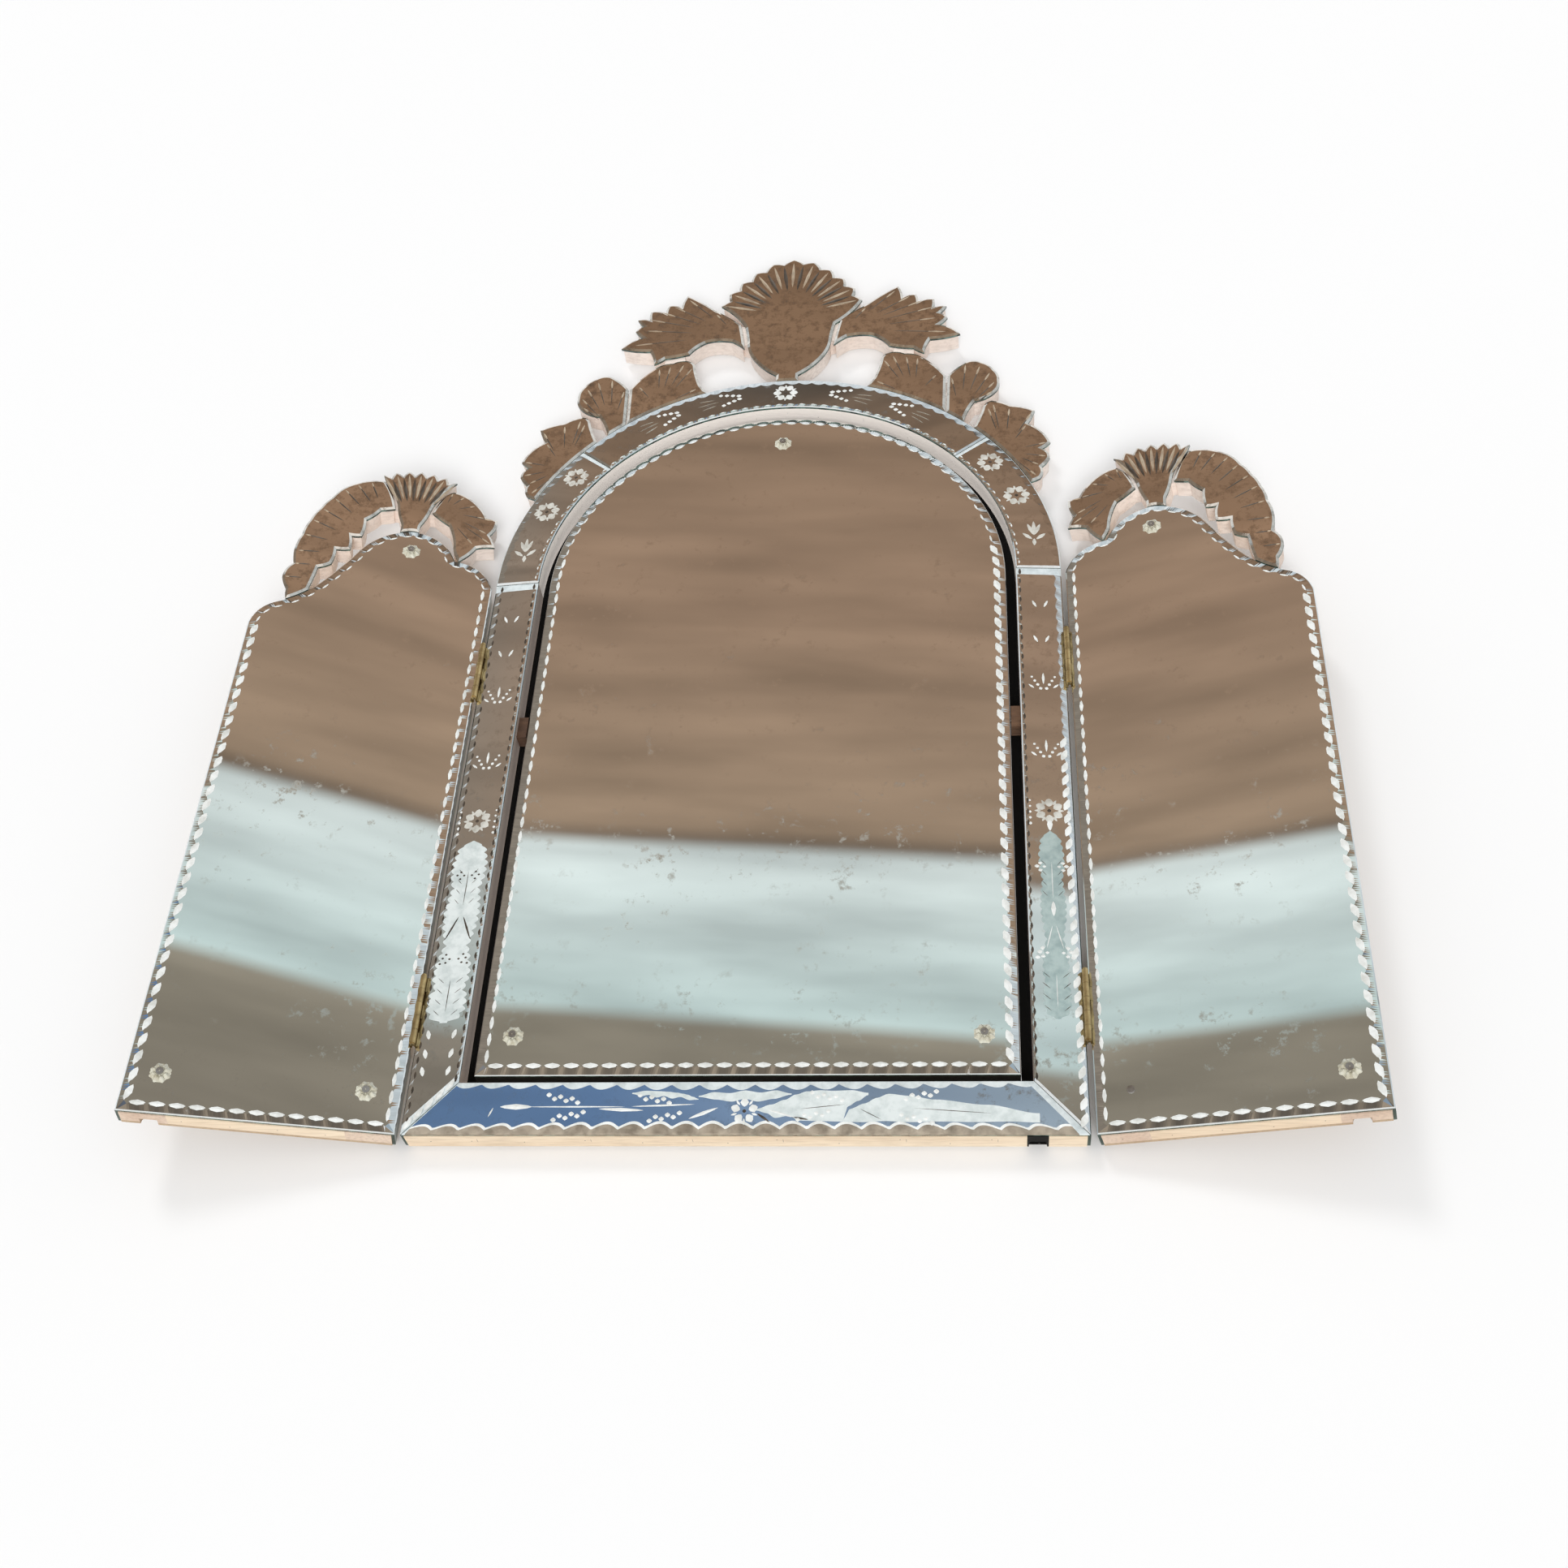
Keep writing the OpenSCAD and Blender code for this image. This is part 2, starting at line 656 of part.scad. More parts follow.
module wing_inner_stile(side) {
    color(wood) place_wing(side) difference() {
        wing_wood(side_glass_t, wing_stile_w, 0, wing_dome_h);
        all_wing_screws(side);
    }
}

module wing_outer_stile(side) {
    color(wood) place_wing(side) difference() {
        wing_wood(wing_w - wing_stile_w, wing_wood_r, 0, wing_dome_h);
        all_wing_screws(side);
        wing_notch();
    }
}

module wing_bottom_rail(side) {
    color(wood) place_wing(side)
        wing_wood(wing_stile_w, wing_w - wing_stile_w, 0, wing_rail_h);
}

module wing_top_rail(side) {
    color(wood) place_wing(side) difference() {
        wing_wood(wing_stile_w, wing_w - wing_stile_w, wing_top_rail_z, wing_dome_h);
        all_wing_screws(side);
    }
}

module wing_back(side) {
    color(ply) place_wing(side) difference() {
        intersection() {
            cut_piece(wing_outline(), wing_back_y, wing_back_t);
            block(side_glass_t, wing_wood_r, wing_back_y, back_y, 0, wing_dome_h);
        }
        all_wing_screws(side);
        wing_notch();
    }
}

module wing_glass(side) {
    color(mirror_tint) place_wing(side) difference() {
        cut_piece([for (p = wing_outline()) [p[0], max(p[1], glass_foot)]], glass_y, glass_t);
        for (p = wing_rosette_places)
            rod_y(p[0], p[1], screw_r + screw_clearance, glass_y - 1, front_y + 1);
    }
}

module wing_side_glass(side) {
    color(green_glass) place_wing(side) {
        side_strips(0, side_glass_t, wing_inner_h, true);
        side_strips(wing_wood_r, wing_w, wing_outer_h, false);
    }
}

// Crest of a wing, from the top of its dome
wing_shell_x = 4;
wing_shell_z = 8;
wing_shell_step = 60 / (wing_shell_ribs - 1);
function wing_rib(k, r) = let (a = k * wing_shell_step)
    [wing_shell_x + r * sin(a), wing_shell_z + r * cos(a), 0.12];
wing_shell_half = (wing_shell_ribs - 1) / 2;
wing_shell_fan = [for (k = [-wing_shell_half:0.5:wing_shell_half])
    wing_rib(k, wing_shell_r - (k == floor(k) ? 0 : rib_notch))];
wing_shell_flank = [[-6, -8, 0], [-7, 10, 0.05], [-14, 30, -0.1], [-24, 58, -0.1]];
wing_shell_corners = concat(wing_shell_flank, wing_shell_fan,
    across(wing_shell_flank, wing_shell_x));
inner_leaf_corners = [[-56, -37, 0.1], [-73, -15, -0.1], [-93, -11, 0.1], [-85, 6, 0.2],
    [-91, 29, 0.1], [-79, 31, 0.1], [-66, 50, 0.1], [-50, 62, 0.1], [-36, 66, 0.1],
    [-27, 58, 0.05], [-17, 31, 0.05], [-38, 15, -0.1], [-48, -20, 0]];
// The long outer leaf ends in a foot on the outer shoulder, which lies this far from the dome's top
foot_z = wing_outer_h - wing_dome_h;
outer_leaf_corners = [[25, 31, 0.05], [35, 58, 0.02], [43, 71, 0.1], [58, 70, 0.1],
    [73, 64, 0.1], [87, 54, 0.1], [97, 38, 0.1], [107, 20, 0.1], [115, 1, 0.1],
    [120, -22, 0.1], [124, foot_z + 108, 0.05], [121, foot_z + 90, 0.25],
    [129, foot_z + 68, 0.1], [122, foot_z + 53, 0.1], [119, foot_z + 36, 0],
    [101, foot_z + 43, 0.02], [94, foot_z + 88, 0.1], [81, -60, 0.1], [79, -38, 0.1],
    [64, -36, 0.1], [66, -16, 0.1], [55, -15, 0.1], [54, 10, 0.1], [40, 27, 0.02]];
wing_webs = [[[-38, 30], [-34, 54], [-14, 54], [-6, 30]], [[14, 30], [22, 54], [42, 54],
    [40, 32]]];

module on_dome() {
    translate([wing_dome_in, 0, wing_dome_h]) children();
}

module wing_fret(side) {
    color(wood) place_wing(side) difference() {
        on_dome() {
            cut_wood(bowed(wing_shell_corners));
            cut_wood(bowed(inner_leaf_corners));
            cut_wood(bowed(outer_leaf_corners));
            for (web = wing_webs) cut_piece(web, front_y, board_t);
        }
        cut_piece(wing_outline(), -through / 2, through);
        all_wing_screws(side);
    }
}

// Crest glass on a wing, clear of the plate below it
module wing_crest_glass(corners) {
    difference() {
        on_dome() cut_piece(bowed(corners), crest_glass_y, crest_glass_t);
        translate([0, 0, glass_gap]) cut_piece(wing_outline(), -through / 2, through);
    }
}

module wing_shell_glass(side) {
    color(mirror_tint) place_wing(side) wing_crest_glass(wing_shell_corners);
}

module wing_leaf_glass(side) {
    color(mirror_tint) place_wing(side) {
        wing_crest_glass(inner_leaf_corners);
        wing_crest_glass(outer_leaf_corners);
    }
}

module wing_plates(side) {
    color(steel) place_wing(side) difference() {
        for (p = wing_plate_places) translate([p[0], 0, p[1]]) steel_plate();
        wing_plate_screws();
    }
}

module wing_rosettes(side) {
    color(cream) place_wing(side) for (i = kept_rosettes(side))
        rosette(wing_rosette_places[i][0], wing_rosette_places[i][1], glass_y);
}

module wing_screws(side) {
    color(steel) place_wing(side) all_wing_screws(side);
}

module wing_hinge_leaves(side) {
    color(brass) on_side(side) translate([pin_x, pin_y, 0]) rotate([0, 0, -wing_fold])
        mirror([1, 0, 0]) translate([-pin_x, -pin_y, 0])
        hinge_leaf(wood_r, arch_r, 1, hinge_pin_r + pin_clearance);
}

frame_stile(-1);  // frame_stile_left
frame_stile(1);  // frame_stile_right
frame_bottom_rail();
frame_arch(-1);  // frame_arch_left
frame_arch(1);  // frame_arch_right
strip_bottom();
strip_side(-1);  // strip_left
strip_side(1);  // strip_right
strip_haunch(-1);  // strip_haunch_left
strip_haunch(1);  // strip_haunch_right
strip_crown();
frame_side_glass();
pivot_blocks();
crest_fret();
haunch_frets();
crest_shell_glass();
crest_leaf_glass(-1);  // crest_leaf_glass_left
crest_leaf_glass(1);  // crest_leaf_glass_right
crest_lower_glass(-1);  // crest_lower_glass_left
crest_lower_glass(1);  // crest_lower_glass_right
haunch_leaf_glass();
crest_plates();
frame_screws();
hinge_frame_leaves();
hinge_pins();
swing_board();
swing_glass();
swing_rosettes();
swing_screws();
pivot_pins();
wing_inner_stile(-1);  // wing_left_inner_stile
wing_outer_stile(-1);  // wing_left_outer_stile
wing_bottom_rail(-1);  // wing_left_bottom_rail
wing_top_rail(-1);  // wing_left_top_rail
wing_back(-1);  // wing_left_back
wing_glass(-1);  // wing_left_glass
wing_side_glass(-1);  // wing_left_side_glass
wing_fret(-1);  // wing_left_fret
wing_shell_glass(-1);  // wing_left_shell_glass
wing_leaf_glass(-1);  // wing_left_leaf_glass
wing_plates(-1);  // wing_left_plates
wing_rosettes(-1);  // wing_left_rosettes
wing_screws(-1);  // wing_left_screws
wing_hinge_leaves(-1);  // wing_left_hinge_leaves
wing_inner_stile(1);  // wing_right_inner_stile
wing_outer_stile(1);  // wing_right_outer_stile
wing_bottom_rail(1);  // wing_right_bottom_rail
wing_top_rail(1);  // wing_right_top_rail
wing_back(1);  // wing_right_back
wing_glass(1);  // wing_right_glass
wing_side_glass(1);  // wing_right_side_glass
wing_fret(1);  // wing_right_fret
wing_shell_glass(1);  // wing_right_shell_glass
wing_leaf_glass(1);  // wing_right_leaf_glass
wing_plates(1);  // wing_right_plates
wing_rosettes(1);  // wing_right_rosettes
wing_screws(1);  // wing_right_screws
wing_hinge_leaves(1);  // wing_right_hinge_leaves
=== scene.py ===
import bisect
import math
from contextlib import contextmanager
from functools import partial

import bmesh
import bpy
from mathutils import Matrix, Vector
from mathutils.geometry import intersect_line_line_2d


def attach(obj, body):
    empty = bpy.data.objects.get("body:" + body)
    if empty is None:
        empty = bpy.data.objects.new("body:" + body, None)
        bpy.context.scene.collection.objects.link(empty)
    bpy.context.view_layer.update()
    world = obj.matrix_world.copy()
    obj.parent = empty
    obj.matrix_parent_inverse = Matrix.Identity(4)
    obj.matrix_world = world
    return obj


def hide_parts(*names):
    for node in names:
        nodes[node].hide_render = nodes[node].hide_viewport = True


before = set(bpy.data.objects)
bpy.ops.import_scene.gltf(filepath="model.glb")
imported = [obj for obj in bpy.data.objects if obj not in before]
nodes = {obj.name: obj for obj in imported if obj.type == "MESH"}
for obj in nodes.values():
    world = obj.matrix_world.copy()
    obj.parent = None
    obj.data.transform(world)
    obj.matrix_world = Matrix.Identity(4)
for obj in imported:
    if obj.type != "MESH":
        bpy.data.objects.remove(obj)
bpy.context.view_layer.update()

# Camera and studio.
# The real panels lie flat and are seen from over their foot, so here, where they stand, the camera
# looks up at them from below. Floor and wall are plain pale paper, seen from their front only.
scene = bpy.context.scene
scene.view_settings.view_transform = "Standard"
right, up = (0.99423, 0.09739, 0.04486), (0.01979, -0.57778, 0.81595)
ahead, lens_at = (-0.10539, 0.81036, 0.57638), (0.2211, -1.5339, -0.6995)
camera = bpy.data.objects.new("camera", bpy.data.cameras.new("camera"))
camera.data.sensor_width, camera.data.lens = 36, 42.857
camera.matrix_world = Matrix([(right[i], up[i], -ahead[i], lens_at[i]) for i in range(3)]
                             + [(0, 0, 0, 1)])
scene.collection.objects.link(camera)
scene.camera = camera
spring_z = 0.66  # the height at which the frame's arch springs


def add_node(tree, kind, *links, **settings):
    """A new node. links are (input, value, output or node whose first output is meant), and
    settings are its properties."""
    made = tree.nodes.new(kind)
    for key, value in settings.items():
        setattr(made, key, value)
    for key, value in links:
        if isinstance(value, bpy.types.Node):
            value = value.outputs[0]
        if isinstance(value, bpy.types.NodeSocket):
            tree.links.new(value, made.inputs[key])
        else:
            made.inputs[key].default_value = value
    return made


class Finish:
    """The nodes of a material or of the world, built step by step."""

    def __init__(self, name, kind="Material"):
        self.owner = (bpy.data.materials if kind == "Material" else bpy.data.worlds).new(name)
        self.owner.use_nodes = True
        self.tree = self.owner.node_tree
        self.tree.nodes.clear()
        self.out = self.node("Output" + kind)

    def node(self, kind, *links, **settings):
        return add_node(self.tree, "ShaderNode" + kind, *links, **settings)

    def math(self, operation, a, b=0.0):
        return self.node("Math", (0, a), (1, b), operation=operation)

    def spread(self, value, start, end, low=0.0, high=1.0):
        """A value between start and end, spread from low to high."""
        return self.node("MapRange", (0, value), (1, start), (2, end), (3, low), (4, high))

    def ramp(self, fac, *stops):
        """A colour ramp. stops are (place, grey or colour)."""
        made = self.node("ValToRGB", ("Fac", fac))
        ramp = made.color_ramp
        while len(ramp.elements) < len(stops):
            ramp.elements.new(0.5)
        for element, (place, shade) in zip(ramp.elements, stops):
            element.position = place
            element.color = (*((shade,) * 3 if isinstance(shade, (int, float)) else shade), 1)
        return made

    def mix(self, fac, a, b, blend="MIX"):
        a, b = ((*c, 1) if isinstance(c, tuple) else c for c in (a, b))
        return self.node("Mix", (0, fac), (6, a), (7, b), data_type="RGBA",
                         blend_type=blend).outputs[2]

    def noise(self, scale, detail=3.0, rough=0.5, stretch=(1, 1, 1)):
        coords = self.node("TexCoord").outputs["Object"]
        placed = self.node("Mapping", ("Vector", coords), ("Scale", stretch))
        return self.node("TexNoise", ("Vector", placed), ("Scale", scale), ("Detail", detail),
                         ("Roughness", rough))

    def bump(self, height, distance, strength=0.5):
        return self.node("Bump", ("Height", height), ("Distance", distance), ("Strength", strength))

    def squares(self, a, b):
        return self.math("ADD", self.math("MULTIPLY", a, a), self.math("MULTIPLY", b, b))

    def from_middle(self):
        """The place (x, y, z) of a point, and how far it is from the frame's middle line or, above
        the spring, from the arch's centre."""
        spot = self.node("SeparateXYZ", (0, self.node("TexCoord").outputs["Object"])).outputs
        rise = self.math("MAXIMUM", self.math("SUBTRACT", spot[2], spring_z), 0.0)
        return spot, self.math("SQRT", self.squares(spot[0], rise))

    def end_in(self, shader):
        """Sends a shader to the output, and gives the finished material or world."""
        self.tree.links.new(shader.outputs[0], self.out.inputs["Surface"])
        return self.owner

    def shade(self, *links):
        """Ends in a Principled shader with these inputs."""
        return self.end_in(self.node("BsdfPrincipled", *links))


def paper(name, colour, glow, painted_shade_within=0.0):
    """Studio paper: seen from its front only, by the camera and in the mirrors. Behind the frame,
    within the last argument's reach of the frame's middle line, it is painted near black as shade
    and does not glow."""
    paint, above_foot = Finish(name), 0.004
    spot, reach = paint.from_middle()
    # Painted shade: behind the frame, near its middle line, the paper is made near black and does
    # not glow
    painted_shade = paint.math("MULTIPLY", paint.math("LESS_THAN", reach, painted_shade_within),
                        paint.math("GREATER_THAN", spot[2], above_foot))
    outside_painted_shade = paint.math("SUBTRACT", 1.0, painted_shade)
    path = paint.node("LightPath").outputs
    seen = paint.math("MAXIMUM", path["Is Camera Ray"], path["Is Glossy Ray"])
    front = paint.math("SUBTRACT", 1.0, paint.node("NewGeometry").outputs["Backfacing"])
    shade = paint.mix(outside_painted_shade, (0.01, 0.01, 0.01), colour)
    diffuse = paint.node("BsdfDiffuse", ("Color", shade))
    light = paint.node("Emission", ("Strength", paint.math("MULTIPLY", outside_painted_shade, glow)))
    surface = paint.node("AddShader", (0, diffuse), (1, light))
    clear = paint.node("BsdfTransparent")
    shown = paint.math("MULTIPLY", seen, front)
    return paint.end_in(paint.node("MixShader", (0, shown), (1, clear), (2, surface)))


def new_object(name, verts, faces, *materials):
    mesh = bpy.data.meshes.new(name)
    mesh.from_pydata([tuple(v) for v in verts], [], faces)
    for material in materials:
        mesh.materials.append(material)
    made = bpy.data.objects.new(name, mesh)
    scene.collection.objects.link(made)
    return made


@contextmanager
def reworked(piece):
    """Opens the mesh of a piece for work on it, and writes it back afterwards."""
    mesh = bmesh.new()
    mesh.from_mesh(piece.data)
    yield mesh
    mesh.to_mesh(piece.data)
    mesh.free()


def heading(angle, reach=1.0):
    """The point that lies at reach in the direction of angle, in degrees."""
    return reach * math.cos(math.radians(angle)), reach * math.sin(math.radians(angle))


# The wall stands close behind the frame and is open where the swing mirror tilts back
sheet_corners = [(-4, -4), (4, -4), (4, 4), (-4, 4)]
floor_z, wall_y = -0.001, 0.0145
hole_r, hole_foot, shaded_r = 0.2515, 0.0615, 0.285
floor = new_object("floor", [(x, y, floor_z) for x, y in sheet_corners], [(0, 1, 2, 3)],
                   paper("floor_paper", (0.9, 0.9, 0.9), 0.35))
# Behind the frame, within shaded_r of its middle line, the wall paper is painted near black as
# shade
wall = new_object("wall", [], [], paper("wall_paper", (0.91, 0.91, 0.91), 0.0, shaded_r))
rim = [(-hole_r, hole_foot), (-hole_r, spring_z)]
rim += [(x, spring_z + z) for x, z in (heading(a, hole_r) for a in range(177, 0, -3))]
rim += [(hole_r, spring_z), (hole_r, hole_foot)]
with reworked(wall) as sheet:
    for ring in (sheet_corners, rim):
        points = [sheet.verts.new((x, wall_y, z)) for x, z in ring]
        for i, point in enumerate(points):
            sheet.edges.new((points[i - 1], point))
    bmesh.ops.triangle_fill(sheet, edges=sheet.edges[:], use_beauty=True)
    for face in sheet.faces:
        if face.normal.y > 0:
            face.normal_flip()

# The world lights all sides alike. The mirrors see soft shades in it, by direction: blue and grey
# low in front, then brown with one pale band across it, and pale high up.
sky = Finish("studio", "World")
scene.world = sky.owner
way = sky.node("TexCoord").outputs["Generated"]
ahead_x, ahead_y, ahead_z = sky.node("SeparateXYZ", (0, way)).outputs
depth = sky.math("MAXIMUM", sky.math("MULTIPLY", ahead_y, -1.0), 0.05)
across = sky.math("DIVIDE", ahead_x, depth)
height = sky.math("ADD", sky.math("DIVIDE", ahead_z, depth), sky.math("MULTIPLY", across, 0.08))
drawn_out = sky.node("CombineXYZ", (0, across), (1, sky.math("MULTIPLY", height, 6.0)))
streaks = sky.node("TexNoise", ("Scale", 5.0), ("Detail", 4.0), ("Vector", drawn_out))
# The shades from low to high. Their places are heights, the rise per metre, over the top one.
top_height = 2.5
shades = sky.ramp(
    sky.math("DIVIDE", height, top_height),
    (0, (0.38, 0.31, 0.24)), (0.035, (0.2, 0.165, 0.13)), (0.09, (0.11, 0.095, 0.085)),
    (0.103, (0.2, 0.31, 0.48)), (0.113, (0.14, 0.235, 0.41)), (0.146, (0.125, 0.215, 0.39)),
    (0.153, (0.24, 0.21, 0.17)), (0.209, (0.3, 0.265, 0.21)), (0.21, (0.58, 0.7, 0.69)),
    (0.2595, (0.78, 0.85, 0.84)), (0.26, (0.07, 0.06, 0.055)), (0.263, (0.37, 0.265, 0.185)),
    (0.34, (0.36, 0.24, 0.165)), (0.5, (0.27, 0.175, 0.115)), (0.56, (0.2, 0.14, 0.1)),
    (0.585, (0.08, 0.07, 0.06)), (0.62, (0.6, 0.67, 0.72)), (0.8, (0.85, 0.89, 0.92)))
# Grey comes in to the right of the blue, and the brown ends at the far left and right
blue_part = sky.math("MULTIPLY", sky.math("LESS_THAN", height, 0.372),
                     sky.math("GREATER_THAN", height, 0.2))
greyed = sky.math("MULTIPLY", sky.spread(across, -0.22, 0.06, 0.0, 0.85), blue_part)
shades = sky.mix(greyed, shades, (0.4, 0.47, 0.52))
lower_wider = sky.math("MULTIPLY", sky.math("LESS_THAN", height, 0.64), 0.26)
below_top = sky.math("LESS_THAN", height, 1.5)
for place, start, end, shade in (
        (across, -0.43, -0.56, (0.27, 0.23, 0.19)),
        (sky.math("ADD", across, lower_wider), 0.5, 0.62, (0.62, 0.68, 0.72))):
    past = sky.math("MULTIPLY", sky.spread(place, start, end), below_top)
    shades = sky.mix(past, shades, shade)
rough = sky.spread(streaks, 0.3, 0.7, 0.78, 1.2)
streaked = sky.node("CombineColor", (0, rough), (1, rough), (2, rough))
shades = sky.mix(1.0, shades, streaked, "MULTIPLY")
mirrored = sky.node("Background", ("Color", shades))
even_light = sky.node("Background", ("Color", (1, 1, 1, 1)), ("Strength", 0.6))
plain_white = sky.node("Background", ("Color", (1, 1, 1, 1)))
path = sky.node("LightPath").outputs
lit = sky.node("MixShader", (0, path["Is Glossy Ray"]), (1, even_light), (2, mirrored))
sky.end_in(sky.node("MixShader", (0, path["Is Camera Ray"]), (1, lit), (2, plain_white)))

# A key light from the upper left and a softer one from the camera's side, from below
for name, energy, width, source in (("key", 0.6, 14, (-0.5, -1.0, 0.9)),
                                    ("fill", 1.7, 30, (0.1, -1.0, -1.15))):
    lamp = bpy.data.objects.new(name, bpy.data.lights.new(name, "SUN"))
    lamp.data.energy = energy
    lamp.data.angle = math.radians(width)
    lamp.rotation_euler = Vector(source).to_track_quat("Z", "Y").to_euler()
    lamp.visible_glossy = False
    scene.collection.objects.link(lamp)


# Carcass of the centre frame and of the wings.
# Bare pale softwood, sawn and planed, joined with small nails. The arch's outer edge is painted
# dark. Where the wood faces the gap round the swing mirror its colour is painted shade on the
# stiles and painted light on the arch's soffit, and the notches in the feet are painted near black
# as shade.
def timber(name, pale, deep, grain, rough=0.62, painted=None, painted_from=0.3085,
           painted_below=-1.0, lining_light_and_shade=None, holes=()):
    """Sawn wood. grain says how far the pattern is squeezed along x, y and z. Beyond a distance
    from the frame's middle line and below a height it may take another colour: dark paint, or near
    black as painted shade. Where it lines the opening of the swing mirror its colour may be changed
    to painted light or painted shade, and round the axes (x, z) of holes it is painted near black
    as shade."""
    lining_r, notch_r = 0.2623, 0.0095
    wood = Finish(name)
    rings = wood.noise(16.0, 6.0, 0.6, grain)
    fibre = wood.noise(260.0, 3.0, 0.6, grain)
    stain = wood.noise(11.0, 4.0, 0.6)
    colour = wood.mix(wood.ramp(rings, (0.35, 0), (0.68, 1)), pale, deep)
    for marks, start, end, most, darker in ((fibre, 0.45, 0.72, 0.5, 0.7),
                                            (stain, 0.52, 0.8, 0.4, 0.62)):
        colour = wood.mix(wood.ramp(marks, (start, 0), (end, most)), colour,
                          tuple(c * darker for c in deep))
    spot, reach = wood.from_middle()
    # Painted light and shade on the faces that line the swing mirror's opening
    if lining_light_and_shade:
        inside = wood.math("LESS_THAN", reach, lining_r)
        colour = wood.mix(wood.math("MULTIPLY", inside, 0.8), colour, lining_light_and_shade)
    # Dark paint on the arch's outer edge, and near black painted shade on the swing board's edges
    if painted:
        reach = wood.math("ADD", reach, wood.math("LESS_THAN", spot[2], painted_below))
        colour = wood.mix(wood.math("GREATER_THAN", reach, painted_from), colour, painted)
    # Round each hole's axis the wood is painted near black, as the shade inside the notch
    for x, z in holes:
        near = wood.squares(wood.math("SUBTRACT", spot[0], x), wood.math("SUBTRACT", spot[2], z))
        colour = wood.mix(wood.math("LESS_THAN", near, notch_r ** 2), colour, (0.012, 0.011, 0.01))
    return wood.shade(("Base Color", colour), ("Roughness", rough), ("Specular IOR Level", 0.25),
                      ("Normal", wood.bump(wood.math("ADD", rings, fibre), 0.0006, 0.6)))


def wear(finish, *names):
    """Gives CAD nodes their finish."""
    for name in names:
        for slot in nodes[name].material_slots:
            slot.material = finish


wings = "wing_right", "wing_left"
# The stiles' faces towards the swing mirror are painted grey-brown as shade
upright = timber("frame_wood", (0.86, 0.7, 0.56), (0.68, 0.5, 0.38), (1, 1, 0.12),
                 lining_light_and_shade=(0.33, 0.27, 0.24))
# Each panel's foot has a half-round notch, painted near black inside as shade
level = timber("rail_wood", (0.95, 0.8, 0.61), (0.83, 0.64, 0.45), (0.12, 1, 1),
               holes=((0.264, 0.0), (0.5346, 0.0), (-0.5346, 0.0)))
# The arch's soffit over the swing mirror is painted paler as light; its outer edge has dark paint
arched = timber("arch_wood", (0.93, 0.81, 0.71), (0.78, 0.63, 0.52), (0.5, 1, 0.5),
                painted=(0.045, 0.05, 0.048), lining_light_and_shade=(1.0, 0.93, 0.87))
wear(upright, "frame_stile_left", "frame_stile_right")
wear(level, "frame_bottom_rail")
wear(arched, "frame_arch_left", "frame_arch_right")
for wing in wings:
    wear(upright, f"{wing}_inner_stile", f"{wing}_outer_stile")
    wear(level, f"{wing}_bottom_rail", f"{wing}_top_rail")

# Wood behind the crests, pivot blocks and back boards.
# The crests are fretted from a 20 mm board, pinkish and freshly sawn on its edges. The pivot
# blocks are dark hardwood, and the boards behind the glass are plain plywood.
wear(timber("fret_wood", (0.96, 0.86, 0.79), (0.84, 0.7, 0.61), (0.4, 1, 1)),
     "crest_fret", "haunch_frets", "wing_left_fret", "wing_right_fret")
wear(timber("block_wood", (0.17, 0.095, 0.055), (0.08, 0.045, 0.03), (0.3, 1, 1), 0.5),
     "pivot_blocks")
plywood = (0.62, 0.47, 0.32), (0.47, 0.33, 0.21), (1, 1, 0.08)
wear(timber("back_board", *plywood), "wing_left_back", "wing_right_back")
# The swing board's edges are painted near black, as the shade in the gap round the swing mirror
wear(timber("swing_board", *plywood, painted=(0.012, 0.012, 0.012), painted_from=0.2502,
            painted_below=0.0625), "swing_board")


# Fittings.
# Tarnished brass butt hinges, and dulled steel for screws, plates and pins, fixed from behind or
# let into the wood. All are CAD pieces.
def metal(name, colour, tarnish, rough):
    sheet = Finish(name)
    patches = sheet.noise(55.0, 4.0, 0.6)
    scratches = sheet.noise(700.0, 2.0, 0.6, (1, 1, 0.15))
    worn = sheet.mix(sheet.ramp(patches, (0.4, 0), (0.7, 1)), colour, tarnish)
    return sheet.shade(("Base Color", worn), ("Metallic", 1.0),
                       ("Roughness", sheet.spread(patches, 0.0, 1.0, rough, rough + 0.3)),
                       ("Normal", sheet.bump(scratches, 0.00015, 0.4)))


steel = metal("dull_steel", (0.56, 0.55, 0.53), (0.3, 0.24, 0.19), 0.3)
wear(steel, "crest_plates", "frame_screws", "swing_screws", "pivot_pins", "wing_left_plates",
     "wing_right_plates", "wing_left_screws", "wing_right_screws")
wear(metal("hinge_brass", (0.7, 0.53, 0.26), (0.3, 0.2, 0.09), 0.28),
     "hinge_frame_leaves", "hinge_pins", "wing_left_hinge_leaves", "wing_right_hinge_leaves")


# Mirror glass.
# Plate glass 4 mm thick, silvered behind. The old silvering is clouded and spotted with brown, so
# the reflection is a little dull. Cut edges are dark green, and the backs are painted grey.
def silvered(name, silver, spoiled, haze, spots, between=0.12):
    """Old mirror glass. haze is how much the clouded patches blur, spots how strongly it is foxed,
    and between how much of that shows outside the worst patches."""
    glass = Finish(name)
    patches = glass.noise(7.0, 5.0, 0.65)
    foxing = glass.noise(70.0, 6.0, 0.75)
    spotted = glass.math("MULTIPLY", glass.ramp(foxing, (0.62 - 0.14 * spots, 0), (0.7, 1)),
                         glass.ramp(patches, (0.44, between), (0.66, 1)))
    colour = glass.mix(glass.math("MULTIPLY", spotted, spots), silver, spoiled)
    blur = glass.spread(patches, 0.4, 0.75, 0.02, haze)
    blur = glass.math("ADD", blur, glass.math("MULTIPLY", spotted, 0.25))
    return glass.shade(("Base Color", colour), ("Metallic", 1.0), ("Roughness", blur),
                       ("Normal", glass.bump(glass.noise(3.0, 1.0), 0.0006, 0.3)))


